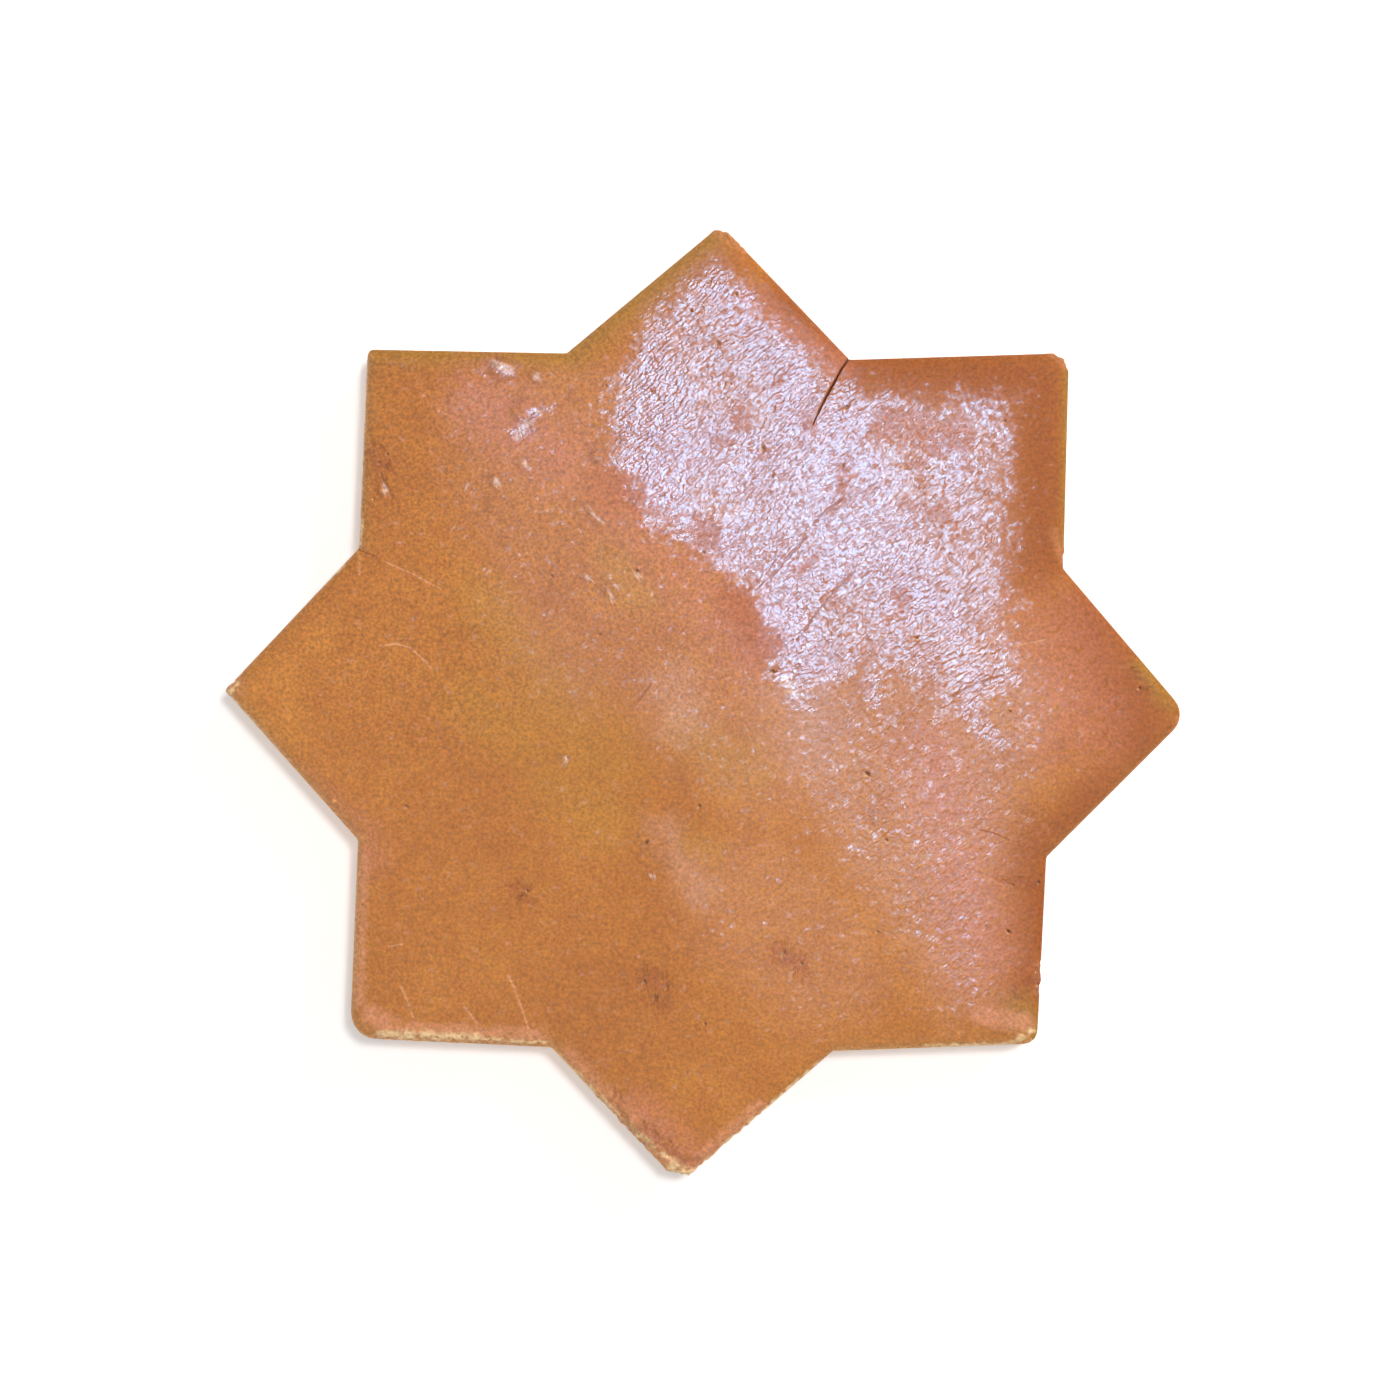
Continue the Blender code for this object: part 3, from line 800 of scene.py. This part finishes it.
# Each mark has its strokes, the points that they are measured at, and their fullness
WEAR_AND_PAINTED_LIGHT = {
    "painted_sheen": (SHEEN_PATCHES, ragged, 1.0),
    "painted_glints": (PAINTED_GLINTS, small_drift_plan, 1.5),
    "pecked": (PECKED, ragged, 1.4),
    "bare": (BARE, ragged, 2.2),
    "worn_and_highlit": (WORN_AND_HIGHLIT, small_drift_plan, 1.3),
    "peach_and_highlit": (PEACH_AND_HIGHLIT, small_drift_plan, 1.2),
}
for name, (rows, points, fullness) in WEAR_AND_PAINTED_LIGHT.items():
    keep(name, near_top * area(rows, points, fullness))
facing = side_facings[side_gaps(plan).argmin(axis=0)]
# The scuff is partly a painted lit rim, brightest where the edge faces the lower left
rim_lit_side = np.clip(SCUFF_AND_LIGHT_ALL_ROUND + np.cos(facing - RIM_LIGHT_BEARING), 0, 1)
scuff_and_rim_light = np.exp(-inside / SCUFF_AND_LIGHT_WIDTH) * rim_lit_side
keep("scuffed_and_rim_lit", on_all(scuff_and_rim_light, SCUFF_AND_LIGHT_ON_WALL))
# Cut marks, with the painted shade in the hollows and the painted highlights on the lips
cuts_and_painted_light = {"hollow_shade": hollow_shade, "lip_highlight": lip_highlight, "incised": lines, "scratched": scratched, "broken": broken}
for name, values in cuts_and_painted_light.items():
    keep(name, on_all(values, 0))
print("marks of wear:", [*WEAR_AND_PAINTED_LIGHT, "scuffed_and_rim_lit", *cuts_and_painted_light])

# %% [markdown]
# ## The patchy seal
# The seal is a clear skin, put on by hand. At the upper right it lies thick and shines. On the lower
# right it was wiped thinner, the brush left faint streaks of it elsewhere, and over the rest it only
# soaked in. One noise could say where it shines, but this seal has a shape of its own. So the thick
# and the wiped seal are closed outlines, and noise shifts the points first, which makes their edges
# ragged. The seal also runs a little down the wall.

# %% Store where the seal lies
# Closed outlines in pixels of where the seal lies thick, and where it was only wiped
THICK_SEAL = [
    (648, 318), (690, 272), (716, 262), (736, 286), (776, 330), (822, 362), (836, 384), (900, 398),
    (1004, 402), (1008, 640), (1000, 690), (960, 712), (900, 676), (850, 668), (806, 694), (776, 680),
    (752, 590), (700, 556), (650, 520), (604, 456), (606, 420), (636, 350),
]
WIPED_SEAL = [
    (752, 640), (1010, 620), (1062, 700), (1026, 800), (1002, 880), (998, 1000), (950, 1020), (890, 940),
    (792, 800),
]
# Strokes again: thin places in the thick seal, brushed streaks, small spots that shine, and rough clay
THIN_PLACES = [
    ((680, 310), (720, 380), 56), ((840, 620), (940, 660), 56), ((975, 440), (985, 620), 36),
    ((760, 420), (750, 380), 24), ((700, 500), (720, 510), 26), ((900, 440), (960, 560), 50),
    ((915, 415), (950, 420), 36), ((930, 520), (950, 580), 40), ((985, 610), (990, 640), 40),
    ((604, 430), (610, 445), 26),
]
BRUSHED = [
    ((480, 420), (600, 400), 60), ((540, 460), (600, 620), 135), ((650, 630), (780, 760), 115),
    ((760, 300), (850, 380), 34), ((760, 900), (820, 960), 110),
]
GLINTS = [
    ((945, 662), (1008, 676), 18), ((964, 700), (990, 736), 20), ((780, 672), (800, 700), 18),
    ((870, 680), (880, 700), 14), ((490, 364), (512, 372), 14), ((514, 440), (542, 408), 12),
    ((820, 640), (850, 660), 20), ((905, 655), (930, 640), 16),
]
GRITTY = [((340, 560), (420, 640), 170), ((420, 420), (600, 440), 170), ((560, 520), (700, 640), 110)]
THICK_EDGE, WIPED_EDGE = 12.0 * MM, 18.0 * MM
# What thin places lose of the shine, and what the other places have of it
THIN_SHARE = 0.42
BRUSHED_SHARE, GLINT_SHARE, SCATTERED, SCUFF_SHINE = 0.40, 0.70, 0.19, 0.6
# How satin the wiped seal is, and how much seal the top of the wall has
WIPED_SHARE = 0.72
SEAL_ON_WALL = 0.8


def patch(outline, points, edge):
    """A smooth step across a closed outline, from nothing to one over the width of the edge."""
    loop = on_tile(outline + outline[:1])
    gap = np.linalg.norm(nearest_on(points, loop)[0], axis=1)
    x, y = points.T
    crossings = np.zeros(len(points), int)
    for (x1, y1), (x2, y2) in zip(loop, loop[1:]):
        crossings += ((y1 > y) != (y2 > y)) & (x < x1 + (y - y1) * (x2 - x1) / (y2 - y1 + TINY))
    return smooth(0.5 + np.where(crossings % 2 == 1, gap, -gap) / edge)


thick = patch(THICK_SEAL, ragged, THICK_EDGE)
wiped = patch(WIPED_SEAL, ragged, WIPED_EDGE)
thinned = thick * (1 - THIN_SHARE * area(THIN_PLACES, ragged, fullness=1.3))
glints = GLINT_SHARE * area(GLINTS, ragged, fullness=1.4)
brushed = BRUSHED_SHARE * area(BRUSHED, ragged, fullness=1.5)
scuff_shine = on_all(SCUFF_SHINE * scuff_and_rim_light, 0)
shine_shares = [thinned, glints, SCATTERED * wiped, SCATTERED * brushed, scuff_shine]
keep("buffed", near_top * np.maximum.reduce(shine_shares))
keep("wiped", near_top * np.maximum.reduce([thick, brushed, WIPED_SHARE * wiped]))
keep("gritty", area(GRITTY, all_plan, fullness=1.6))
keep("sealed", on_all(whole_face, up_the_wall(np.linspace(0, SEAL_ON_WALL, WALL_ROWS))))
print("thick seal on", round(100 * thick[: len(plan)].mean(), 1), "% of the grid's points")

# %% [markdown]
# ## Material: sealed low-fired terracotta
# Terracotta is an earthenware with much iron, fired at about 1000 degrees. Fired clay scatters
# light deep in its pores, so its own colour is matt. A wiped-on seal fills the pores and adds a thin
# clear skin with an index of about 1.5: the eye sees a satin gloss, broken up by the grain. So one
# Principled shader is enough, with a roughness that rises where the seal is thin.

# %% A helper for colours and one for nodes
def colour(hex_text):
    """An sRGB hex colour as linear RGBA: the sRGB curve undone on each channel."""
    parts = [int(hex_text[i : i + 2], 16) / 255 for i in (1, 3, 5)]
    return [p / 12.92 if p <= 0.04045 else ((p + 0.055) / 1.055) ** 2.4 for p in parts] + [1.0]


def add(tree, kind, settings, inputs):
    """Adds one node, sets its settings, and fills its inputs: a socket is linked, a value is set."""
    node = tree.nodes.new("ShaderNode" + kind)
    for name, value in settings.items():
        setattr(node, name, value)
    for key, value in inputs.items():
        if isinstance(value, bpy.types.NodeSocket):
            tree.links.new(value, node.inputs[key])
        else:
            node.inputs[key].default_value = value
    return node


# Settings of the Math nodes, where CLAMPED keeps the result between 0 and 1
MULTIPLY = {"operation": "MULTIPLY"}
MULTIPLY_ADD = {"operation": "MULTIPLY_ADD"}
SUBTRACT = {"operation": "SUBTRACT"}
CLAMPED = {"use_clamp": True}

clay = bpy.data.materials.new("sealed hand-pressed terracotta")
clay.use_nodes = True
tree = clay.node_tree
tree.nodes.clear()
print("material:", clay.name)

# %% [markdown]
# ## Patterns of fired clay
# Clay has a pattern at each scale: clouds of heat, blots of iron, crumbs and flakes where it broke,
# and single grains of grit. A picture of clay would repeat itself, so each is a noise in Object
# coordinates at its real size. Only grit is different: its grains are about a quarter of a
# millimetre, too fine to show, so speck and grain are drawn two to three times as coarse.

# %% Lay out the patterns
# Each pattern has its size, its detail and its roughness
PATTERNS = {
    "cloud": (34.0 * MM, 3.0, 0.55),
    "blot": (6.0 * MM, 4.0, 0.6),
    "crumble": (1.8 * MM, 3.0, 0.5),
    "tooth": (1.4 * MM, 1.0, 0.55),
    "fringe": (1.3 * MM, 1.0, 0.5),
    "flake": (0.9 * MM, 3.0, 0.7),
    "speck": (0.70 * MM, 2.0, 0.6),
    "grain": (0.64 * MM, 1.0, 0.5),
}
place = add(tree, "TexCoord", {}, {}).outputs["Object"]
pattern = {}
for name, (size, detail, roughness) in PATTERNS.items():
    inputs = {"Vector": place, "Scale": 1 / size, "Detail": detail, "Roughness": roughness}
    pattern[name] = add(tree, "TexNoise", {}, inputs).outputs[0]
print(len(pattern), "patterns")

# %% [markdown]
# ## The clay's colour
# The body is an orange brown that clouds and blots shift a little. A colour ramp could hold all the
# stains too, but each belongs to its own place, so each is mixed in by its own attribute, and a
# pattern breaks up its edge. Some stains are painted shade, sheen or highlights, as noted at their rows.

# %% Mix the body's colour
CLOUD_SHARE, BLOT_SHARE = 0.60, 0.40
CLAY_TONES = {0.30: "#AA661C", 0.50: "#BC7622", 0.70: "#CE892E"}

blots = add(tree, "Math", MULTIPLY, {0: pattern["blot"], 1: BLOT_SHARE}).outputs[0]
mottle = add(tree, "Math", MULTIPLY_ADD, {0: pattern["cloud"], 1: CLOUD_SHARE, 2: blots}).outputs[0]
ramp = add(tree, "ValToRGB", {}, {0: mottle})
for stop, (position, tone) in zip([0, 1, None], CLAY_TONES.items()):
    element = ramp.color_ramp.elements.new(position) if stop is None else ramp.color_ramp.elements[stop]
    element.position = position
    element.color = colour(tone)
body = ramp.outputs[0]
print(len(CLAY_TONES), "tones of clay")

# %% Lay the stains over it
# Each stain has its attribute, its colour, how strong it is at most, what breaks it up, and how much
STAINS = [
    ("sealed", "#A85A26", 0.28, "crumble", 4.0),
    # Partly painted shade, on the edges that face the upper right
    ("umber_and_shade", "#9C5212", 0.90, "blot", 0.9),
    ("ochre", "#A87828", 0.80, "blot", 0.9),
    # Partly painted sheen
    ("rose_and_sheen", "#C67B5A", 0.64, "crumble", 4.0),
    ("gold", "#BE8A2A", 0.38, "blot", 0.9),
    # Partly painted highlights on the lower rims
    ("peach_and_highlit", "#DE966E", 0.70, "crumble", 3.0),
    ("bare", "#B5652F", 0.60, "flake", 5.0),
    # Painted sheen
    ("painted_sheen", "#E0B4A0", 0.26, "flake", 3.0),
    ("buffed", "#A8604A", 0.60, "flake", 1.0),
    # Partly a painted lit rim, brightest on edges that face the lower left
    ("scuffed_and_rim_lit", "#FFC27A", 0.98, "speck", 1.0),
    ("broken", "#CC8A5C", 0.60, "flake", 5.0),
    # Partly painted highlights on the lower rims
    ("worn_and_highlit", "#FFDAA4", 0.95, "crumble", 6.0),
    ("scratched", "#E0A070", 0.75, "speck", 2.0),
    ("pecked", "#964A22", 0.55, "flake", 8.0),
    # Painted shade in the incised grooves
    ("incised", "#7C3A1C", 0.85, "speck", 1.0),
    # Painted glints
    ("painted_glints", "#FFE6DC", 0.54, "flake", 5.0),
    # Painted shade in the pits, in the crack and on the left of each bead
    ("hollow_shade", "#5A2611", 0.90, "speck", 0.4),
    # Painted highlight on the lower left of each pit's lip
    ("lip_highlight", "#F6CE98", 0.70, "speck", 1.0),
]
for name, tone, strength, break_up, contrast in STAINS:
    amount = add(tree, "Attribute", {"attribute_name": name}, {}).outputs["Fac"]
    uneven = {0: pattern[break_up], 1: contrast, 2: 1 - contrast / 2}
    uneven = add(tree, "Math", MULTIPLY_ADD | CLAMPED, uneven).outputs[0]
    amount = add(tree, "Math", MULTIPLY, {0: amount, 1: uneven}).outputs[0]
    amount = add(tree, "Math", MULTIPLY | CLAMPED, {0: amount, 1: strength}).outputs[0]
    body = add(tree, "Mix", {"data_type": "RGBA"}, {0: amount, 6: body, 7: colour(tone)}).outputs[2]
print(len(STAINS), "stains")

# %% Speckle it with grit
# How much the specks lighten and darken the clay, and how much more where it is gritty
SPECK_CONTRAST, GRITTY_CONTRAST = 1.25, 0.38
NOISE_MIDDLE = 0.5

gritty = add(tree, "Attribute", {"attribute_name": "gritty"}, {}).outputs["Fac"]
contrast = {0: gritty, 1: GRITTY_CONTRAST, 2: SPECK_CONTRAST}
contrast = add(tree, "Math", MULTIPLY_ADD, contrast).outputs[0]
off_middle = add(tree, "Math", SUBTRACT, {0: pattern["speck"], 1: NOISE_MIDDLE}).outputs[0]
grit = add(tree, "Math", MULTIPLY_ADD, {0: off_middle, 1: contrast, 2: 1.0}).outputs[0]
body = add(tree, "VectorMath", {"operation": "SCALE"}, {0: body, "Scale": grit}).outputs[0]
print("specks change the colour by up to", (SPECK_CONTRAST + GRITTY_CONTRAST) / 2)

# %% [markdown]
# ## Brush strokes
# The seal was brushed from the lower left to the upper right, in short strokes. A Wave texture would
# look combed, so they are a noise that is stretched along one direction. A wide, weak noise bends
# that direction, as a hand does.

# %% Lay the brush strokes
STROKE_ANGLE = math.radians(42)
STROKE_ACROSS, STROKE_ALONG = 0.50 * MM, 1.6 * MM
WARP_SIZE, WARP = 20.0 * MM, 6.0 * MM

warp = add(tree, "TexNoise", {}, {"Vector": place, "Scale": 1 / WARP_SIZE, "Detail": 1.0}).outputs[1]
warped = add(tree, "VectorMath", MULTIPLY_ADD, {0: warp, 1: (WARP,) * 3, 2: place}).outputs[0]
laid = add(tree, "Mapping", {"vector_type": "TEXTURE"}, {0: warped, 2: (0, 0, STROKE_ANGLE)})
laid.inputs["Scale"].default_value = (STROKE_ALONG, STROKE_ACROSS, STROKE_ACROSS)
stroke = add(tree, "TexNoise", {}, {"Vector": laid.outputs[0], "Scale": 1.0, "Detail": 0.0}).outputs[0]
print("strokes are", round(STROKE_ALONG / STROKE_ACROSS, 1), "times as long as they are wide")

# %% [markdown]
# ## Where it shines
# The buffed attribute says how much of each place shines. Used as it is, it would fade out like a
# spotlight. So blots make it patchy, and a noise of about a millimetre turns its soft edge into
# frayed bits that each shine fully or hardly at all. Where flakes of the seal came off, it is matt.

# %% Break up the shine
PATCHY, FRAY, FRAY_STEEPNESS, FRAY_LEVEL = 1.6, 2.7, 1.5, 0.44
FLECK, FLECK_LEVEL = 6.0, 0.37

read = {}
for name in ("buffed", "wiped", "sealed", "bare", "pecked", "hollow_shade", "incised"):
    read[name] = add(tree, "Attribute", {"attribute_name": name}, {}).outputs["Fac"]
patchy = {0: pattern["blot"], 1: PATCHY, 2: 1 - PATCHY / 2}
patchy = add(tree, "Math", MULTIPLY_ADD | CLAMPED, patchy).outputs[0]
buffed = add(tree, "Math", MULTIPLY, {0: read["buffed"], 1: patchy}).outputs[0]
frayed = {0: pattern["fringe"], 1: FRAY, 2: -FRAY / 2 - FRAY_STEEPNESS / 2 + FRAY_LEVEL}
frayed = add(tree, "Math", MULTIPLY_ADD, frayed).outputs[0]
buffed = {0: buffed, 1: FRAY_STEEPNESS, 2: frayed}
buffed = add(tree, "Math", MULTIPLY_ADD | CLAMPED, buffed).outputs[0]
fleck = {0: pattern["flake"], 1: FLECK, 2: -FLECK * FLECK_LEVEL}
fleck = add(tree, "Math", MULTIPLY_ADD | CLAMPED, fleck).outputs[0]
flaked = add(tree, "Math", MULTIPLY, {0: read["bare"], 1: fleck}).outputs[0]
buffed = add(tree, "Math", SUBTRACT | CLAMPED, {0: buffed, 1: flaked}).outputs[0]
print("the shine reads", list(read))

# %% [markdown]
# ## Relief too fine for the mesh
# Under the shine the brush strokes and the grain are low, so the gloss breaks up without going out.
# Elsewhere the bare tooth of the clay is coarser and higher. Geometry this fine would take millions
# of faces, so a bump with heights in millimetres gives both, and the pecked places are torn deeper.

# %% Raise the relief
GRAIN_HEIGHT, STROKE_HEIGHT = 0.10, 0.11
TOOTH_HEIGHT, COMBED_HEIGHT = 0.42, 0.09
PECK_DEPTH = 0.5


def relief_of(parts):
    """The sum of some patterns times their heights, less half of all heights, so that it stays level."""
    total = -sum(tallest for _, tallest in parts) / 2
    for source, tallest in parts:
        total = add(tree, "Math", MULTIPLY_ADD, {0: source, 1: tallest, 2: total}).outputs[0]
    return total


brushed_relief = relief_of([(pattern["grain"], GRAIN_HEIGHT), (stroke, STROKE_HEIGHT)])
clay_relief = relief_of([(pattern["tooth"], TOOTH_HEIGHT), (stroke, COMBED_HEIGHT)])
texture = add(tree, "Mix", {}, {0: buffed, 2: clay_relief, 3: brushed_relief}).outputs[0]
torn = add(tree, "Math", MULTIPLY, {0: read["pecked"], 1: pattern["crumble"]}).outputs[0]
texture = add(tree, "Math", MULTIPLY_ADD, {0: torn, 1: -PECK_DEPTH, 2: texture}).outputs[0]
bump = add(tree, "Bump", {}, {"Strength": 1.0, "Distance": MM, "Height": texture}).outputs[0]
print("relief of up to", TOOTH_HEIGHT + COMBED_HEIGHT, "mm")

# %% [markdown]
# ## Gloss
# Roughness is one number for each place, mixed in layers: bare clay is the roughest, clay with seal in
# its pores is a little less so, the wiped seal is satin, and the buffed seal nearly mirrors the
# window. A clear coat over matt clay could do this too, but it needs a second roughness, and one is
# enough here. Pits, the crack and incised lines hold no seal.

# %% Set the gloss and finish the material
BARE_ROUGHNESS, SEALED_ROUGHNESS, WIPED_ROUGHNESS, BUFFED_ROUGHNESS = 0.90, 0.83, 0.42, 0.165
SEAL_IOR = 1.5

open_pores = {0: read["hollow_shade"], 1: read["incised"]}
open_pores = add(tree, "Math", {"operation": "MAXIMUM"}, open_pores).outputs[0]
skin = add(tree, "Math", SUBTRACT | CLAMPED, {0: read["sealed"], 1: open_pores}).outputs[0]
shine = add(tree, "Math", SUBTRACT | CLAMPED, {0: buffed, 1: open_pores}).outputs[0]
layers = [(skin, SEALED_ROUGHNESS), (read["wiped"], WIPED_ROUGHNESS), (shine, BUFFED_ROUGHNESS)]
gloss = BARE_ROUGHNESS
for share, roughness in layers:
    gloss = add(tree, "Mix", {}, {0: share, 2: gloss, 3: roughness}).outputs[0]
shader = add(tree, "BsdfPrincipled", {}, {"Base Color": body, "Roughness": gloss, "Normal": bump})
shader.inputs["IOR"].default_value = SEAL_IOR
add(tree, "OutputMaterial", {}, {"Surface": shader.outputs[0]})
tile_mesh.materials.append(clay)
print("material with", len(tree.nodes), "nodes")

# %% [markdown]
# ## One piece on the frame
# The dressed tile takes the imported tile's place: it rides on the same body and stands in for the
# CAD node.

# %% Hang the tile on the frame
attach(tile, "root")
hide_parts("star_tile")
print("one piece rides on the root body")

# %% [markdown]
# ## Light
# Two lamps shade the clay: a key almost overhead and a wide rake from the upper right, so the shadow
# falls short to the lower left. The others show only as gloss. A window of nine panes hangs a little
# to the upper right, where its mirror image lies on the face as the photograph has it. One large
# lamp would give a dull, even sheen, and the panes make it sparkle. A wide, weaker sky fills it in.
# A pale wall and a low glow add a faint warm sheen lower down.

# %% Hang the lamps
LAMP_HEIGHT = 1.0
PANE_ROWS = 3
PANE_SIDE, PANE_PITCH = 0.060, 0.090
WINDOW_MIDDLE, WINDOW_TURN = (0.075, 0.125), 39
WINDOW_POWER, WINDOW_COLOUR = 6.4, "#A9DCFF"
# Each lamp has its place, the point it faces, its side in metres, its turn in degrees, its power, its
# colour, and what it gives
LAMPS = {
    "key": ((0.125, 0.125, LAMP_HEIGHT), (0.0, 0.0, 0.0), 0.11, 0, 4.5, "#FFFFFF", "shade"),
    "rake": ((0.90, 0.90, 0.90), (0.0, 0.0, 0.0), 0.50, 0, 12.0, "#FFEEDC", "shade"),
    "sky": ((0.080, 0.130, LAMP_HEIGHT), (0.080, 0.130, 0.0), 0.31, WINDOW_TURN, 9.0, "#92C8FF", "gloss"),
    "pale wall": ((0.120, -0.070, LAMP_HEIGHT), (0.120, -0.070, 0.0), 0.20, 0, 0.6, "#FFC8C0", "gloss"),
    "low glow": ((-0.70, -0.90, 0.70), (0.0, 0.0, 0.0), 0.60, 0, 60.0, "#FFB872", "gloss"),
}
pane_steps = PANE_PITCH * (np.arange(PANE_ROWS) - (PANE_ROWS - 1) / 2)
pane_places = np.stack(np.meshgrid(pane_steps, pane_steps), axis=-1).reshape(-1, 2)
pane_places = turned(pane_places, math.radians(-WINDOW_TURN)) + WINDOW_MIDDLE
pane_power = WINDOW_POWER / len(pane_places)
for number, (x, y) in enumerate(pane_places.tolist()):
    hung, below = (x, y, LAMP_HEIGHT), (x, y, 0.0)
    pane = (hung, below, PANE_SIDE, WINDOW_TURN, pane_power, WINDOW_COLOUR, "gloss")
    LAMPS[f"window pane {number}"] = pane
for name, (hung, target, size, turn, power, tint, gives) in LAMPS.items():
    lamp_data = bpy.data.lights.new(name, "AREA")
    lamp_data.shape = "SQUARE"
    lamp_data.size = size
    lamp_data.energy = power
    lamp_data.color = colour(tint)[:3]
    lamp = bpy.data.objects.new(name, lamp_data)
    lamp.location = hung
    aim_line = Vector(target) - Vector(hung)
    aimed = aim_line.to_track_quat("-Z", "Y").to_matrix() @ Matrix.Rotation(math.radians(turn), 3, "Z")
    lamp.rotation_euler = aimed.to_euler()
    lamp.visible_glossy = gives == "gloss"
    lamp.visible_diffuse = gives == "shade"
    bpy.context.scene.collection.objects.link(lamp)
print(len(LAMPS), "lamps")

# %% [markdown]
# ## Surroundings
# The world gives an even white fill, and camera and glossy rays see it plain white. The floor is
# matt white paper, which the eye sees as an even white. Stronger lamps could whiten it too, but they
# would wash out the clay, so it adds a little light of its own, for those rays alone. Only the
# tile's near shadow shows on it. From below it is clear, so the back of the tile can be seen.

# %% Light the world evenly and lay the floor
FILL_COLOUR = "#FFFFFF"
FILL_STRENGTH = 0.25
FLOOR_COLOUR = "#FAFAFA"
FLOOR_GLOW = 0.38
FLOOR_HALF_SIDE = 4.0
FLOOR_LEVEL = -0.2 * MM


def seen_directly(tree):
    """One for a camera, glossy or transmission ray, and nothing for a ray that only gathers light."""
    path = add(tree, "LightPath", {}, {}).outputs
    seen = add(tree, "Math", {"operation": "ADD"}, {0: path["Is Camera Ray"], 1: path["Is Glossy Ray"]})
    through = {0: seen.outputs[0], 1: path["Is Transmission Ray"]}
    return add(tree, "Math", {"operation": "ADD", "use_clamp": True}, through).outputs[0]


world = bpy.data.worlds.new("studio")
bpy.context.scene.world = world
world.use_nodes = True
tree = world.node_tree
tree.nodes.clear()
fill = [FILL_STRENGTH * part for part in colour(FILL_COLOUR)[:3]] + [1.0]
sky = add(tree, "Mix", {"data_type": "RGBA"}, {0: seen_directly(tree), 6: fill, 7: (1, 1, 1, 1)})
light = add(tree, "Background", {}, {"Color": sky.outputs[2], "Strength": 1.0})
add(tree, "OutputWorld", {}, {"Surface": light.outputs[0]})

side, level = FLOOR_HALF_SIDE, FLOOR_LEVEL
floor_corners = [(-side, -side, level), (side, -side, level), (side, side, level), (-side, side, level)]
floor_mesh = bpy.data.meshes.new("floor")
floor_mesh.from_pydata(floor_corners, [], [(0, 1, 2, 3)])
floor = bpy.data.objects.new("floor", floor_mesh)
bpy.context.scene.collection.objects.link(floor)
paper = bpy.data.materials.new("white studio paper")
paper.use_nodes = True
tree = paper.node_tree
tree.nodes.clear()
glow = add(tree, "Math", {"operation": "MULTIPLY"}, {0: seen_directly(tree), 1: FLOOR_GLOW})
matt = add(tree, "BsdfDiffuse", {}, {"Color": colour(FLOOR_COLOUR)})
shine = add(tree, "Emission", {}, {"Color": (1, 1, 1, 1), "Strength": glow.outputs[0]})
both = add(tree, "AddShader", {}, {0: matt.outputs[0], 1: shine.outputs[0]})
under = add(tree, "NewGeometry", {}, {}).outputs["Backfacing"]
clear = add(tree, "BsdfTransparent", {}, {})
sheet = add(tree, "MixShader", {}, {0: under, 1: both.outputs[0], 2: clear.outputs[0]})
add(tree, "OutputMaterial", {}, {"Surface": sheet.outputs[0]})
floor_mesh.materials.append(paper)
bpy.context.scene.view_settings.view_transform = "Standard"
print("a floor of", 2 * FLOOR_HALF_SIDE, "m")
